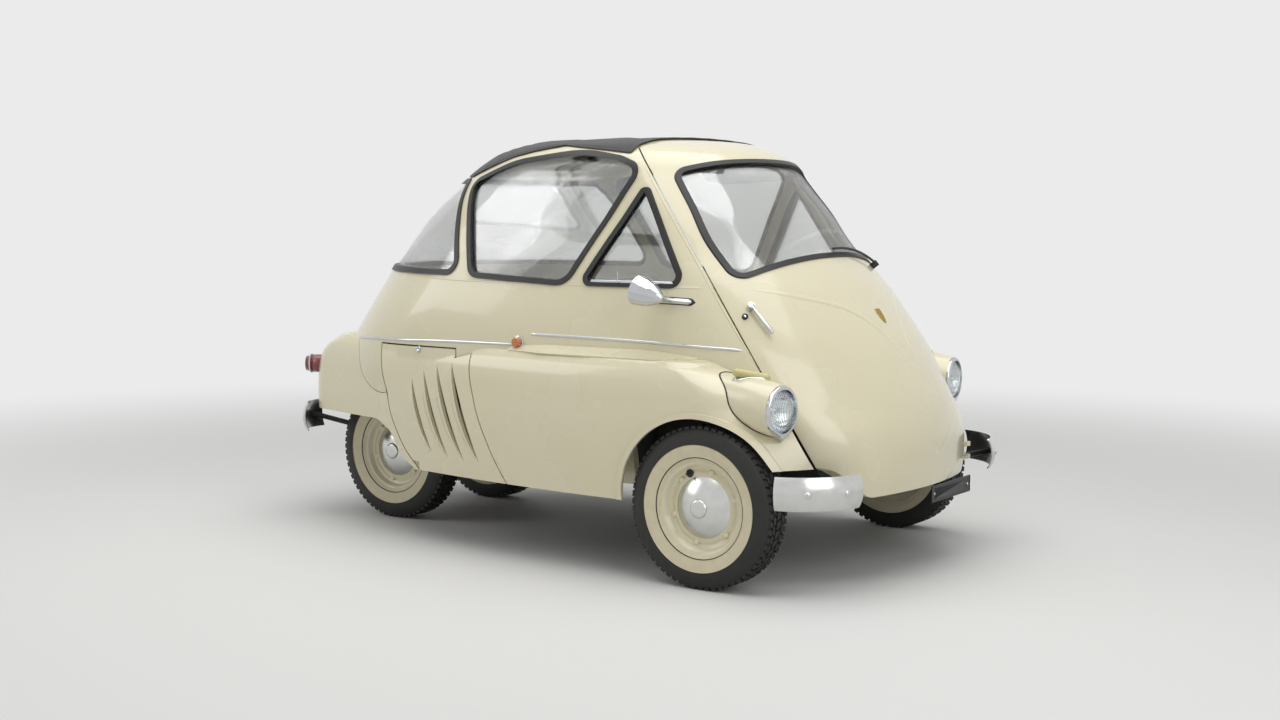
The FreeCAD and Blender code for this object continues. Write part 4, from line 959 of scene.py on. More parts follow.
def even_path(points, squares, step):
    """Points spread evenly along a line, with their outward directions."""
    points = np.asarray(points, float)
    squares = np.asarray(squares, float)
    lengths = np.concatenate([[0], np.cumsum(np.linalg.norm(np.diff(points, axis=0), axis=1))])
    places = np.linspace(0, lengths[-1], max(int(lengths[-1] * 1000 / step), 2))
    even = np.stack([np.interp(places, lengths, points[:, k]) for k in range(3)], 1)
    normal = np.stack([np.interp(places, lengths, squares[:, k]) for k in range(3)], 1)
    return even, normal / np.linalg.norm(normal, axis=1, keepdims=True)


print("a strip's profile has", len(half_round(9, 3.2)), "points")

# %% [markdown]
# The hem is an oval swept along the border of the grid. The stitches beside it are short pointed
# loops of thread, 6 mm apart, coarser than life so that they show.

# %% Hem and stitches
hem_step = 9
stitch_step = 6
seam_inset = 7
tail_rows = 7


def border(table):
    """The border of a grid, as one closed run."""
    last = roof_rows - 2
    return np.concatenate([table[0], table[1:last, -1], table[last, ::-1], table[1:last, 0][::-1]])


def seam_run(table):
    """A run a little inside the border, along the front and then both flanks."""
    last = roof_rows - 1 - tail_rows
    return np.concatenate([table[2, seam_inset:-seam_inset], table[3:last, -seam_inset],
                           table[3:last, seam_inset - 1][::-1]])


table = cloth_points.reshape(roof_rows, roof_columns, 3)
table_square = square.reshape(roof_rows, roof_columns, 3)
edge, edge_square = even_path(border(table), border(table_square), hem_step)
hem = fitted("canvas_hem", [swept(edge, edge_square, oval(11, 4.0, 0.6), closed=True)], "body", CANVAS)
line, line_square = even_path(seam_run(table), seam_run(table_square), stitch_step)
stitch_half_width = 0.0005
stitch_rise = 0.0016
threads = []
for start, following, out in zip(line, line[1:], line_square):
    start = Vector(start)
    way = Vector(following) - start
    out = Vector(out)
    aside = way.cross(out).normalized() * stitch_half_width
    foot = start + out * stitch_rise / 4
    tips = (foot + way * 0.12, foot + way * 0.72)
    middle = (tips[0] + tips[1]) / 2 + out * stitch_rise * 0.6
    ring = [middle + aside, middle + out * stitch_rise * 0.35, middle - aside,
            middle - out * stitch_rise * 0.8]
    threads.append(skinned([[tips[0]], ring, [tips[1]]]))
stitches = fitted("canvas_stitches", threads, "body", CANVAS)

# %% [markdown]
# ## Seat
# The cushion and the back are sprung pads in woven cloth. Each solid is remeshed into even
# quads, blown up a little by a cloth simulation with its travel capped, and smoothed. The sewn
# channels are pressed in, 95 mm apart, and fade out before the ends.

# %% Seat pads
# Lengths are in metres, and the channels' spacing and width in millimetres.
start_share = 0.985
pad_voxel = 0.010
pad_pressure = 4.0
pad_frames = 20
pad_travel = 0.014
pad_room = 0.001
channel_spacing = 95.0
channel_width = 5.0
channel_depth = 0.005
channel_end = 0.455
channel_fade = 0.03


def inflated(pad, even, name):
    """Places of the pad's vertices after it is blown up, with the travel capped."""
    rest = np.array([v.co for v in even.vertices])
    inflate = pad.modifiers.new("inflate", "CLOTH")
    inflate.settings.use_pressure = True
    inflate.settings.uniform_pressure_force = pad_pressure
    inflate.settings.effector_weights.gravity = 0.0
    inflate.settings.quality = 4
    inflate.point_cache.frame_start = 1
    inflate.point_cache.frame_end = pad_frames
    for number in range(1, pad_frames + 1):
        bpy.context.scene.frame_set(number)
    grown = evaluated(pad, keep=True)
    bpy.context.scene.frame_set(1)
    move = np.array([v.co for v in grown.vertices]) - rest
    far = np.linalg.norm(move, axis=1, keepdims=True)
    move *= np.minimum(1, pad_travel / np.maximum(far, 1e-9))
    lowest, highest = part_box(name)
    return np.clip(rest + move, np.array(lowest) + pad_room, np.array(highest) - pad_room)


print("pads swell over", pad_frames, "frames")

# %% [markdown]
# Voxel remeshing gives the pad quads of one size, which cloth needs to swell evenly. The travel
# is held to 14 mm, and to the box of the solid, so that the pad stays in its place.


# %% Pads
def pad_from(name):
    """A stuffed cushion that grows out of a solid, inside the space of the solid."""
    shape = bmesh.new()
    shape.from_mesh(nodes[name].data)
    bmesh.ops.remove_doubles(shape, verts=shape.verts, dist=merge_gap)
    middle = sum((v.co for v in shape.verts), Vector()) / len(shape.verts)
    for vertex in shape.verts:
        vertex.co = middle + (vertex.co - middle) * start_share
    pad = linked_object("pad_of_" + name, baked(shape))
    remesh = pad.modifiers.new("remesh", "REMESH")
    remesh.mode = "VOXEL"
    remesh.voxel_size = pad_voxel
    even = evaluated(pad, keep=True)
    pad.data = even
    even.vertices.foreach_set("co", inflated(pad, even, name).ravel())
    even.update()
    normals = np.array([v.normal for v in even.vertices])
    points = np.array([v.co for v in even.vertices])
    half = channel_spacing / 2
    off_channel = np.abs((points[:, 1] * 1000 + half) % channel_spacing - half)
    groove = np.exp(-((off_channel / channel_width) ** 2))
    groove *= np.clip((channel_end - np.abs(points[:, 1])) / channel_fade, 0, 1)
    points -= normals * (groove * channel_depth)[:, None]
    even.vertices.foreach_set("co", points.ravel())
    even.update()
    smooth = pad.modifiers.new("smooth", "SUBSURF")
    smooth.levels = 1
    smooth.render_levels = 1
    final = evaluated(pad)
    final.shade_smooth()
    made = new_piece("padded_" + name, final, nodes[name]["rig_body"], seat_cloth, slot_of[name])
    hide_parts(name)
    return made


for name in ("seat_cushion", "seat_back"):
    pieces[name] = pad_from(name)
    print(name, len(pieces[name].data.polygons))

# %% [markdown]
# ## Trim that follows the panels
# Bright strips, creases and gaskets lie on the curved panels. Each is drawn as a few points,
# rounded into a smooth line, and let down onto the dressed panels by rays, so that it follows
# them exactly. It then rides on the body of the panel that it landed on.

# %% Landing lines on panels
PANELS = ("cabin_shell", "front_door", "wing_right", "wing_left", "engine_cover", "tail_panel",
          "nacelles")
drop_height = 0.06
drop_reach = 0.15
nearly_square = 0.9
smooth_steps = 24


def panel_tree(*names):
    """A ray tree over several dressed pieces, and the name behind each of its faces."""
    points, faces, owners = [], [], []
    for name in names:
        mesh = pieces[name].data
        start = len(points)
        points.extend(v.co.copy() for v in mesh.vertices)
        faces.extend([start + index for index in face.vertices] for face in mesh.polygons)
        owners.extend([name] * len(mesh.polygons))
    return BVHTree.FromPolygons(points, faces), owners


panels = panel_tree(*PANELS)
print("faces to land on", len(panels[1]))

# %% [markdown]
# A smooth line through a few knots is let down square to the form. Strips laid on it narrow to
# nothing at both ends, as a pressed crease does.


# %% Lines let down on the panels
def rounded_line(knots):
    """A smooth line through the knots, by Catmull-Rom pieces."""
    knots = [np.array(k, float) for k in knots]
    knots = [2 * knots[0] - knots[1]] + knots + [2 * knots[-1] - knots[-2]]
    line = []
    for index in range(1, len(knots) - 2):
        a, b, c, d = knots[index - 1:index + 3]
        for t in np.linspace(0, 1, smooth_steps, endpoint=False):
            line.append(0.5 * (2 * b + (c - a) * t + (2 * a - 5 * b + 4 * c - d) * t ** 2
                               + (3 * b - a - 3 * c + d) * t ** 3))
    line.append(knots[-2])
    return line


def landed(knots, levels, onto=panels):
    """A smooth line let down on panels: points, outward directions and the pieces below."""
    tree, owners = onto
    points = np.array([spot(*point) for point in rounded_line(knots)])
    found, directions, names = [], [], []
    for point, out in zip(points, outward(levels, points)):
        out = Vector(out)
        hit, normal, index, _ = tree.ray_cast(Vector(point) + out * drop_height, -out, drop_reach)
        if hit is not None:
            found.append(hit)
            directions.append(out if normal.dot(out) > nearly_square else normal)
            names.append(owners[index])
    return found, directions, names


def landing(place, levels):
    """Where one place comes down on the panels, and the outward direction there."""
    points, directions, _ = landed((place, place), levels)
    return points[0], directions[0]


def fading(width, height, sink=1.0, ends=0.12):
    """A half-round profile that narrows towards both ends of its line."""
    def at_share(share):
        size = max(min(share, 1 - share) / ends, 0.0)
        size = 1.0 if size > 1 else math.sin(size * math.pi / 2)
        return half_round(max(width * size, 0.4), max(height * size, 0.05), sink)
    return at_share


def laid(name, points, directions, step, profile, body, look):
    """A strip swept evenly along a line, as a piece."""
    return fitted(name, [swept(*even_path(points, directions, step), profile)], body, look)


print("the nose of the door lands at", [round(v, 3) for v in landing((405, 0, 515), CABIN_LEVELS)[0]])

# %% [markdown]
# A bright strip runs along each waist in two lengths. The door is pressed with a crease on each
# side of its nose, and the cabin with one under its windows. All fade out at their ends.

# %% Waist strips and creases
strip_step = 8
# Columns: name, knots, profile, look.
STRIPS = (
    ("waist_strip_front_", ((-658, -591, 702), (-300, -575, 697), (-120, -545, 689), (55, -506, 680)),
     fading(9, 3.2, 1.0, 0.03), CHROME),
    ("waist_strip_rear_", ((-706, -600, 668), (-1000, -590, 664), (-1250, -560, 655),
                           (-1480, -480, 645)),
     fading(9, 3.2, 1.0, 0.03), CHROME),
    ("door_crease_", ((6, -435, 854), (123, -299, 829), (212, -154, 787), (273, -78, 726),
                      (331, -36, 650), (383, -22, 560), (410, -19, 488), (420, -18, 440)),
     fading(16, 1.5, 0.6, 0.25), CREAM),
    ("shoulder_crease_", ((-1260, -480, 856), (-1000, -550, 856), (-600, -560, 856),
                          (-250, -535, 856), (-75, -500, 855)),
     fading(7, 1.2, 0.6, 0.04), CREAM),
)
for name, knots, profile, look in STRIPS:
    for label, side in SIDES:
        points, directions, below = landed([(x, -side * y, z) for x, y, z in knots], CABIN_LEVELS)
        owner = max(set(below), key=below.count)
        laid(name + label, points, directions, strip_step, profile, nodes[owner]["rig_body"], look)
        print(name + label, "on", sorted(set(below)))

# %% [markdown]
# The body's edge beside the door is rolled outwards into a narrow bead, which catches the light
# next to the dark seam. The seam is a straight line in side view, and so is the bead.

# %% Bead beside the door seam, and the foot of the mirror
seam_foot = (332.0, 339.0)
seam_lean = 0.755
bead_behind = 7.5
mirror_step = 4
seam_z = np.linspace(352, 1212, 60)
seam_x = seam_foot[0] - seam_lean * (seam_z - seam_foot[1]) - bead_behind
seam_y = half_width_at(CABIN_LEVELS, seam_x, seam_z)
shell_only = panel_tree("cabin_shell")
for label, side in SIDES:
    points, directions, _ = landed(list(zip(seam_x, side * seam_y, seam_z)), CABIN_LEVELS, shell_only)
    laid("seam_bead_" + label, points, directions, strip_step, fading(4.5, 1.7, 1.0, 0.02), "body",
         CREAM)
points, directions, _ = landed(((-236, -541, 819), (-170, -534, 818), (-97, -527, 816)), CABIN_LEVELS)
laid("mirror_gasket", points, directions, mirror_step, fading(23, 2.0, 1.0, 0.12), "body", RUBBER)
points, directions = even_path(points, directions, mirror_step)
fitted("mirror_foot_plate", [swept(points[2:-2], directions[2:-2], fading(18, 6.0, 0.0, 0.14))],
       "body", CHROME)
print("seam bead and mirror foot laid")

# %% [markdown]
# ## Leaded shoulders
# Each wing is joined to the cabin by a run of body lead, smoothed by hand into a hollow curve.
# It starts on the cabin's side and ends on the ridge of the wing, and sinks away at both ends.

# %% Leaded shoulders
# Columns: place along, height on the cabin, height at the middle, outer edge across and height.
SHOULDER = np.array((
    (-750, 646, 645, 604, 643), (-722, 657, 654, 609, 646.5), (-650, 665, 659, 619, 647),
    (-600, 668, 661, 627, 645.5), (-450, 668, 661, 634, 646), (-350, 668, 661, 634, 646.5),
    (-260, 668, 661, 634, 646.5), (-220, 666, 660, 634, 646.5), (-180, 663, 658, 634, 646.5),
    (-140, 659, 655.5, 630, 648), (-100, 655, 653.4, 610, 651), (-70, 650, 650, 575, 648)))
shoulder_rows = 90
shoulder_columns = 14
shoulder_sunk = 1.5
hollow_reach = 14
lead_thickness = 5.0
lead_crisp = math.radians(60)
lead_x = np.linspace(SHOULDER[0, 0], SHOULDER[-1, 0], shoulder_rows)
inner_z, middle_z, outer_y, outer_z = [np.interp(lead_x, SHOULDER[:, 0], SHOULDER[:, k])
                                       for k in (1, 2, 3, 4)]
inner_y = half_width_at(CABIN_LEVELS, lead_x, inner_z) - shoulder_sunk
middle_y = np.minimum(inner_y + hollow_reach, (inner_y + outer_y) / 2)
share = np.linspace(0, 1, shoulder_columns)
weights = np.stack([(1 - share) ** 2, 2 * share * (1 - share), share ** 2])
lead_y = (np.stack([inner_y, middle_y, outer_y], 1) @ weights).ravel()
lead_z = (np.stack([inner_z, middle_z, outer_z], 1) @ weights).ravel()
for label, side in SIDES:
    lead = grid_mesh([spot(x, side * y, z) for x, y, z in
                      zip(np.repeat(lead_x, shoulder_columns), lead_y, lead_z)],
                     shoulder_rows, shoulder_columns)
    if side > 0:
        lead.flip_normals()
    mesh = solidified(lead, lead_thickness, 1.0)
    mesh.shade_smooth()
    mesh.set_sharp_from_angle(angle=lead_crisp)
    new_piece("leaded_shoulder_" + label, mesh, "body", *CREAM)
print("shoulder rows", shoulder_rows)

# %% [markdown]
# ## Quarter window fittings
# The lower edge of each quarter window stands in a bright rail, with a small lever that lets it
# swing.

# %% Quarter window fittings
LEVER = ((0, 9), (2.2, 9), (2.6, 7), (2.6, 2), (5.5, 1.5), (6, -2), (0, -2))
rail_points = 24
lever_point = 8
lever_stand = 0.009
low, high = drawing(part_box("quarter_windows"))
rail_z = low[2] + 6
rail_x = np.linspace(low[0] + 22, high[0] - 14, rail_points)
rail_y = half_width_at(CABIN_LEVELS, rail_x, np.full(rail_points, rail_z)) + 1.5


def bar(centre, way, out, stand, reaches, profile):
    """A small straight bar that stands off a centre and reaches along a way, in millimetres."""
    places = [centre + way * reach / 1000 + out * stand for reach in reaches]
    return swept(places, [out] * len(places), profile)


for label, side in SIDES:
    rail = [spot(x, side * y, rail_z) for x, y in zip(rail_x, rail_y)]
    rail_square = outward(CABIN_LEVELS, rail)
    fitted("quarter_rail_" + label, [swept(rail, rail_square, half_round(11, 4, 2.0))], "body", CHROME)
    centre = rail[lever_point]
    out = Vector(rail_square[lever_point])
    fitted("quarter_lever_" + label,
           [turned(LEVER, centre, out, 24),
            bar(centre, Vector((0, 0, 1)), out, lever_stand, np.linspace(-2, 30, 8), oval(4.5, 3.5))],
           "body", CHROME)
print("quarter rails at height", round(rail_z))

# %% [markdown]
# ## Gaskets under the lamp housings
# Each housing is bolted to its wing over a black rubber gasket, which shows as a thin line. Its
# run is found on the housing itself: the sharp edges whose ends touch a wing or the cabin.

# %% Gaskets
gasket_reach = 0.004
gasket_step = 6
foot_angle = math.radians(25)
shortest_run = 12
skins = panel_tree("cabin_shell", "front_door", "wing_right", "wing_left")[0]


def chains(edges):
    """Runs of joined edges as lists of vertex numbers, longest first."""
    linked = {}
    for a, b in edges:
        linked.setdefault(a, set()).add(b)
        linked.setdefault(b, set()).add(a)
    runs = []
    while linked:
        run = [min(linked, key=lambda v: (len(linked[v]) != 1, v))]
        while linked.get(run[-1]):
            step = linked[run[-1]].pop()
            linked[step].discard(run[-1])
            run.append(step)
        linked = {v: others for v, others in linked.items() if others}
        runs.append(run)
    return sorted(runs, key=len, reverse=True)


housing = pieces["nacelles"].data
shape = bmesh.new()
shape.from_mesh(housing)
foot = [[v.index for v in edge.verts] for edge in shape.edges
        if len(edge.link_faces) == 2 and edge.calc_face_angle(0) >= foot_angle
        and all(skins.find_nearest(v.co, gasket_reach)[0] is not None for v in edge.verts)]
shape.free()
runs = [run for run in chains(foot) if len(run) > shortest_run][:4]
print("gasket runs", [len(run) for run in runs])
for number, run in enumerate(runs):
    points = [housing.vertices[index].co for index in run]
    directions = [skins.find_nearest(point)[1] for point in points]
    laid("housing_gasket_" + str(number + 1), points, directions, gasket_step, oval(5.0, 4.0, 0.3),
         "body", RUBBER)

# %% [markdown]
# ## Small turned trim
# The bumper blades are held by domed bolts, two to a blade. Like all the small fittings, they are
# turned from a short profile and set a little into what holds them.

# %% Bumper bolts
BOLT = ((0, 4.6), (4.5, 4.2), (8, 2.6), (9.5, 0.4), (9.5, -3), (0, -3))
bolt_angles = (22, 52)
blade_out = 0.2925
cast_reach = 0.2


def level_out(degrees, side):
    """A level direction, turned from straight ahead towards a side."""
    return Vector((math.cos(math.radians(degrees)), side * math.sin(math.radians(degrees)), 0))


blades = panel_tree("front_bumpers")[0]
bolts = []
for label, side in SIDES:
    for out in [level_out(degrees, side) for degrees in bolt_angles]:
        before_blade = spot(187, side * 424, 300) + out * blade_out
        bolts.append(turned(BOLT, blades.ray_cast(before_blade, -out, cast_reach)[0], out, 28))
fitted("bumper_bolts", bolts, "body", CHROME)
print("bumper bolts", len(bolts))

# %% [markdown]
# The door lock has a round keyhole guard. The engine cover is closed by a T key: a rose, a stem
# and a bar that is turned by hand.

# %% Lock and cover key
KEYHOLE = ((0, 8.0), (2.6, 8.0), (3.6, 7.4), (3.8, 4.0), (0, 4.0))
ROSE = ((0, 3), (9, 3), (11.5, 1.5), (12, -2), (0, -2))
KEY_STEM = ((0, 11), (3.2, 11), (3.6, 3), (3.6, 2), (0, 2))
key_stand = 0.0105
lock_low, lock_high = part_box("door_lock")
lock_out = Vector(outward(CABIN_LEVELS, [(lock_low + lock_high) / 2])[0])
fitted("lock_centre", [turned(KEYHOLE, spot(37, -469, 775), lock_out, 28)], "door", CHROME)
key_spot, key_out = landing((-1113, -566, 622), WING_LEVELS)
key_aside = (Vector((1, 0, 0)) - key_out * key_out.x).normalized()
fitted("cover_key", [turned(ROSE, key_spot, key_out, 32), turned(KEY_STEM, key_spot, key_out, 20),
                     bar(key_spot, key_aside, key_out, key_stand, np.linspace(-13, 13, 9),
                         oval(5.5, 4.5))],
       "engine_cover", CHROME)
print("cover key at", [round(v, 3) for v in key_spot])

# %% [markdown]
# The plate is blank enamelled sheet with a rolled edge, held by two screws.

# %% Plate rim and screws
SCREW = ((0, 1.9), (2.6, 1.7), (4.4, 0.9), (5, -1.5), (0, -1.5))
plate_body = nodes["front_plate"]["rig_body"]
plate_face_x = 407.6
corners = [spot(plate_face_x, y, z)
           for y, z in ((21.5, 201.5), (298.5, 201.5), (298.5, 250.5), (21.5, 250.5))]
rim = [swept([start, start.lerp(end, 0.5), end], [(1, 0, 0)] * 3, half_round(3, 1.4, 0.5))
       for start, end in zip(corners, corners[1:] + corners[:1])]
screws = [turned(SCREW, spot(plate_face_x, y, 226), (1, 0, 0), 20) for y in (40, 280)]
fitted("plate_rim", rim, plate_body, PLATE)
fitted("plate_screws", screws, plate_body, CHROME)
print("plate rim of", len(rim), "strips")

# %% [markdown]
# The side lamps and the tail lamps sit in bright turned rims.

# %% Lamp rims
RIM_RING = ((14.2, 3.5), (16.5, 3.6), (19.5, 2.0), (20.2, -4), (14.2, -4))
TAIL_RING = ((26.4, 3.0), (29, 3.4), (33.5, 1.8), (34.4, -3), (26.4, -3))
tail_angle = 150
tail_stand = 0.010
for label, side in SIDES:
    lamp_foot, _ = landing((-699, side * 590, 675), CABIN_LEVELS)
    lamp_rim = turned(RIM_RING, lamp_foot, (0, side, 0), 40, closed=True)
    fitted("side_lamp_rim_" + label, [lamp_rim], "body", CHROME)
    out = level_out(tail_angle, side)
    tail_foot = spot(-1793, side * 390, 535) + out * tail_stand
    tail_rim = turned(TAIL_RING, tail_foot, out, 48, closed=True)
    fitted("tail_lamp_rim_" + label, [tail_rim], "body", CHROME)
print("lamp rims on both sides")

# %% [markdown]
# Under each parking lamp a bright strip is let down on the housing from above. It is a wide
# half round that fades out at both ends.

# %% Parking lamp bases
housings = panel_tree("nacelles")[0]
for label, side in SIDES:
    hits = [housings.ray_cast(spot(84 + 66 * share, side * (588 - 54 * share), 720), (0, 0, -1),
                              cast_reach) for share in np.linspace(-0.16, 1.14, 15)]
    hits = [hit for hit in hits if hit[0] is not None]
    base = swept([hit[0] for hit in hits], [hit[1] for hit in hits], fading(31, 4.5, 2.0, 0.2))
    fitted("parking_lamp_base_" + label, [base], "body", CHROME)
    print("parking lamp base", label, len(hits), "landings")

# %% [markdown]
# ## The shield
# A small brass shield sits high on the door. It is left blank: a domed plate with a raised rim.

# %% Shield
SHIELD = ((-13, 24), (0, 26), (13, 24), (14, 8), (12, -8), (7, -20), (0, -28), (-7, -20), (-12, -8),
          (-14, 8))
# Columns: share of the outline, height.
SHIELD_DOME = ((1.0, -1.0), (1.0, 2.0), (0.93, 2.8), (0.86, 2.2), (0.6, 3.0), (0.3, 3.5), (0, 3.6))
centre, out = landing((246, -20, 765), CABIN_LEVELS)
up = (Vector((0, 0, 1)) - out * out.z).normalized()
aside = up.cross(out)
rings = [[centre + ((aside * u + up * v) * share + out * height) / 1000
          for u, v in (SHIELD if share else SHIELD[:1])] for share, height in SHIELD_DOME]
fitted("blank_shield", [skinned(rings)], "door", BRASS)
print("shield rings", len(rings))

# %% [markdown]
# ## Louvres
# The four slots of the engine cover are pressed, not cut: behind each slot the metal is raised
# into a lip that scoops air. The lip is widest half way down and fades out at both ends.

# %% Louvre lips
# Columns: top, middle and bottom of a slot, as (ahead, height), and its width at the middle.
LOUVRES = (((-1153, 536), (-1117, 420), (-1060, 302), 10),
           ((-1093, 566), (-1048, 430), (-982, 294), 12),
           ((-1031, 589), (-980, 440), (-906, 289), 14),
           ((-961, 600), (-910, 445), (-837, 290), 18))
lip_rise = 7.0
lip_gap = 1.5
lip_reach = 30.0
lip_wall = 1.6
lip_rows = 40
lip_columns = 9
wing_side_y = -0.66


def arc_through(start, middle, end, count):
    """Points along the circle through three places in the plane."""
    (ax, az), (bx, bz), (cx, cz) = start, middle, end
    a, b, c = ax ** 2 + az ** 2, bx ** 2 + bz ** 2, cx ** 2 + cz ** 2
    d = 2 * (ax * (bz - cz) + bx * (cz - az) + cx * (az - bz))
    ux = (a * (bz - cz) + b * (cz - az) + c * (az - bz)) / d
    uz = (a * (cx - bx) + b * (ax - cx) + c * (bx - ax)) / d
    first = math.atan2(az - uz, ax - ux)
    turn = math.remainder(math.atan2(cz - uz, cx - ux) - first, 2 * math.pi)
    turns = first + turn * np.linspace(0, 1, count)
    reach = math.hypot(ax - ux, az - uz)
    return np.stack([ux + reach * np.cos(turns), uz + reach * np.sin(turns)], 1)


part = np.linspace(0, 1, lip_columns)
for number, (top, middle, bottom, width) in enumerate(LOUVRES):
    slot_edge = arc_through(top, (middle[0] - width / 2, middle[1]), bottom, lip_rows)
    rings = []
    for (x, z), share in zip(slot_edge, np.linspace(0, 1, lip_rows)):
        swell = math.sin(share * math.pi) ** 0.6
        lip_x = x - lip_gap - part * lip_reach * swell
        lip_y = -half_width_at(WING_LEVELS, lip_x, np.full(lip_columns, z))
        feet = [spot(foot_x, foot_y, z) for foot_x, foot_y in zip(lip_x, lip_y)]
        outs = outward(WING_LEVELS, [(foot.x, wing_side_y, foot.z) for foot in feet])
        rise = lip_rise * swell * (0.5 + 0.5 * np.cos(part * math.pi)) ** 0.8
        outer, inner = [[foot + Vector(out) * height / 1000
                         for foot, out, height in zip(feet, outs, heights)]
                        for heights in (rise + 0.15 - 0.6 * part, rise * 0.75 - lip_wall)]
        rings.append(outer + inner[::-1])
    fitted("louvre_lip_" + str(number + 1), [skinned(rings)], "engine_cover", CREAM)
print("louvre lips", len(LOUVRES))

# %% [markdown]
# ## Headlamp glass
# The pressed glass is domed and fluted. The outside is smooth; the flutes are on the inside, as
# upright grooves 7 mm apart, so that dust can't lodge in them. Behind it sits a small bulb.

# %% Fluted lenses and bulbs
lens_radius = 61.6
lens_rise = 19.0
lens_wall = 4.0
lens_curve = (lens_radius ** 2 + lens_rise ** 2) / (2 * lens_rise)
lens_rings = 40
lens_steps = 144
flute_spacing = 7.0
flute_depth = 0.9
flute_margin = 6
lamp_angle = 6
bulb_behind = 0.030
BULB = ((0, 20), (4, 19), (7, 15.5), (8.4, 10), (7.2, 4), (4.6, 0), (4.6, -8), (6, -9), (6, -14), (0, -14))


def lens_face(centre, out, wall):
    """Rings of a lens face, from the middle to the rim. A face with a wall before it is fluted."""
    aside = Vector((-out.y, out.x, 0))
    rings = []
    for ring in range(lens_rings + 1):
        radius = lens_radius * ring / lens_rings
        dome = math.sqrt(lens_curve ** 2 - radius ** 2) - (lens_curve - lens_rise)
        fade = min(1, (lens_radius - radius) / flute_margin) if wall else 0
        points = []
        for index in range(lens_steps if ring else 1):
            angle = 2 * math.pi * index / lens_steps
            u, v = radius * math.cos(angle), radius * math.sin(angle)
            depth = dome - wall + flute_depth * fade * math.cos(2 * math.pi * u / flute_spacing)
            points.append(centre + (aside * u + Vector((0, 0, v)) + out * depth) / 1000)
        rings.append(points)
    return rings


lens_meshes, bulbs = [], []
for label, side in SIDES:
    out = level_out(lamp_angle, side)
    centre = spot(219.5, side * 570, 523) + out * 0.001
    lens_meshes.append(skinned(lens_face(centre, out, 0) + lens_face(centre, out, lens_wall)[::-1]))
    bulbs.append(turned(BULB, centre - out * bulb_behind, out, 24))
fluted = fitted("fluted_lenses", lens_meshes, "body", LAMP_GLASS)
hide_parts("headlamp_lenses")
fitted("headlamp_bulbs", bulbs, "body", SILVERED)
print("lenses", len(fluted.data.polygons))

# %% [markdown]
# ## Camera
# A long lens at head height, from the front right. Its place is measured from the front axle.

# %% Camera
camera_data = bpy.data.cameras.new("camera")
camera = linked_object("camera", camera_data)
bpy.context.scene.camera = camera
yaw = 0.607
pitch = 0.0889
roll = 0.004
ahead_of_axle = 2.611556
aside_of_axle = -4.706736
camera_height = 1.090453
lens_by_width = 1714.145 / 1280
ahead = Vector((-math.sin(yaw) * math.cos(pitch), math.cos(yaw) * math.cos(pitch), -math.sin(pitch)))
flat_right = Vector((math.cos(yaw), math.sin(yaw), 0.0))
upright = flat_right.cross(ahead)
right = flat_right * math.cos(roll) + upright * math.sin(roll)
top = upright * math.cos(roll) - flat_right * math.sin(roll)
turn = Matrix((right, top, -ahead)).transposed()
camera_place = Matrix.Translation((axle_x + ahead_of_axle, aside_of_axle, camera_height))
camera.matrix_world = camera_place @ turn.to_4x4()
camera_data.sensor_width = 36.0
camera_data.lens = lens_by_width * camera_data.sensor_width
print("camera at", [round(v, 3) for v in camera.location])

# %% [markdown]
# ## Studio
# The car stands on a pale painted floor, which fades into an even backdrop. Light Path tells
# rays from the camera, from metal and through glass, so that all of them see that backdrop while
# the floor keeps the car's shadow.

# %% Floor
floor_reach = 14.0
floor_mesh = bpy.data.meshes.new("studio_floor")
floor_mesh.from_pydata([(floor_reach * x, floor_reach * y, 0)
                        for x, y in ((-1, -1), (1, -1), (1, 1), (-1, 1))], [], [(0, 1, 2, 3)])
floor = linked_object("studio_floor", floor_mesh)
backdrop_tone = 0.83
dome_light = 0.34
fade_start = 2.0
fade_end = 5.5
LARGEST = {"operation": "MAXIMUM"}


def seen_rays(tree):
    """1 for rays from the camera, from metal and through glass, and 0 for the light itself."""
    rays = add(tree, "ShaderNodeLightPath").outputs
    seen = add(tree, "ShaderNodeMath", LARGEST, in0=rays["Is Camera Ray"], in1=rays["Is Glossy Ray"])
    return add(tree, "ShaderNodeMath", LARGEST, in0=seen.outputs[0],
               in1=rays["Is Transmission Ray"]).outputs[0]


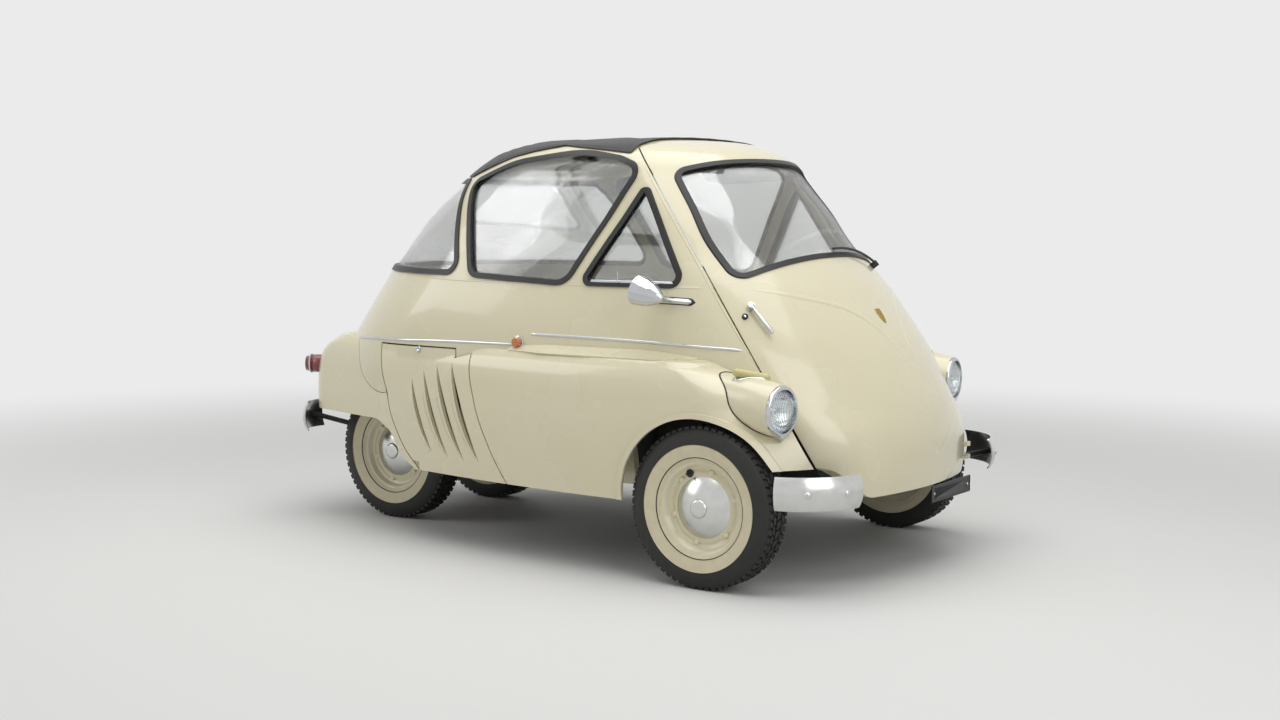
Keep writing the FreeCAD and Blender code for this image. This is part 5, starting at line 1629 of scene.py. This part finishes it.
floor_paint, tree, shader, place = material("pale_floor_paint")
wire(tree, shader, Base_Color=linear("#DEDEDC"), Roughness=0.7)
far = add(tree, "ShaderNodeVectorMath", {"operation": "LENGTH"}, in0=place).outputs["Value"]
fade = add(tree, "ShaderNodeMapRange", {"interpolation_type": "SMOOTHSTEP"}, Value=far,
           From_Min=fade_start, From_Max=fade_end).outputs["Result"]
fade = add(tree, "ShaderNodeMath", MULTIPLY, in0=fade, in1=seen_rays(tree)).outputs[0]
glow = add(tree, "ShaderNodeEmission", Color=linear("#FFFFFF"), Strength=backdrop_tone).outputs[0]
floor_mix = add(tree, "ShaderNodeMixShader", in0=fade, in1=shader.outputs[0], in2=glow)
wire(tree, tree.nodes["Material Output"], Surface=floor_mix.outputs[0])
floor.data.materials.append(floor_paint)
print("floor", floor_reach * 2, "metres wide, fading from", fade_start, "to", fade_end)

# %% [markdown]
# The world is a plain dome: it lights the car gently, and shows paler to the rays that see it.

# %% World
world = bpy.data.worlds.new("studio_world")
bpy.context.scene.world = world
world.use_nodes = True
tree = world.node_tree
strength = add(tree, "ShaderNodeMapRange", Value=seen_rays(tree), To_Min=dome_light,
               To_Max=backdrop_tone).outputs["Result"]
wire(tree, tree.nodes["Background"], Color=linear("#FFFFFF"), Strength=strength)
print("dome light", dome_light)

# %% [markdown]
# Three large soft lamps shape the car: one above, one in front and a weaker one behind it.

# %% Lamps
# Columns: name, place, what it looks at, side in metres, power in watts.
LAMPS = (
    ("overhead", (0.4, -0.4, 4.6), (0, 0, 0.4), 5.0, 158),
    ("front", (5.0, -2.2, 3.0), (0, 0, 0.6), 3.0, 62),
    ("rear_right", (-4.0, -3.4, 3.0), (0, 0, 0.6), 2.5, 40),
)
for name, place, target, side, power in LAMPS:
    lamp_data = bpy.data.lights.new(name, "AREA")
    lamp_data.size = side
    lamp_data.energy = power
    lamp = linked_object(name, lamp_data)
    lamp.location = place
    lamp.rotation_euler = (Vector(target) - Vector(place)).to_track_quat("-Z", "Y").to_euler()
print("lamps", [lamp[0] for lamp in LAMPS])

# %% [markdown]
# ## Finish
# The view transform stays plain.

# %% Finish
bpy.context.scene.view_settings.view_transform = "Standard"
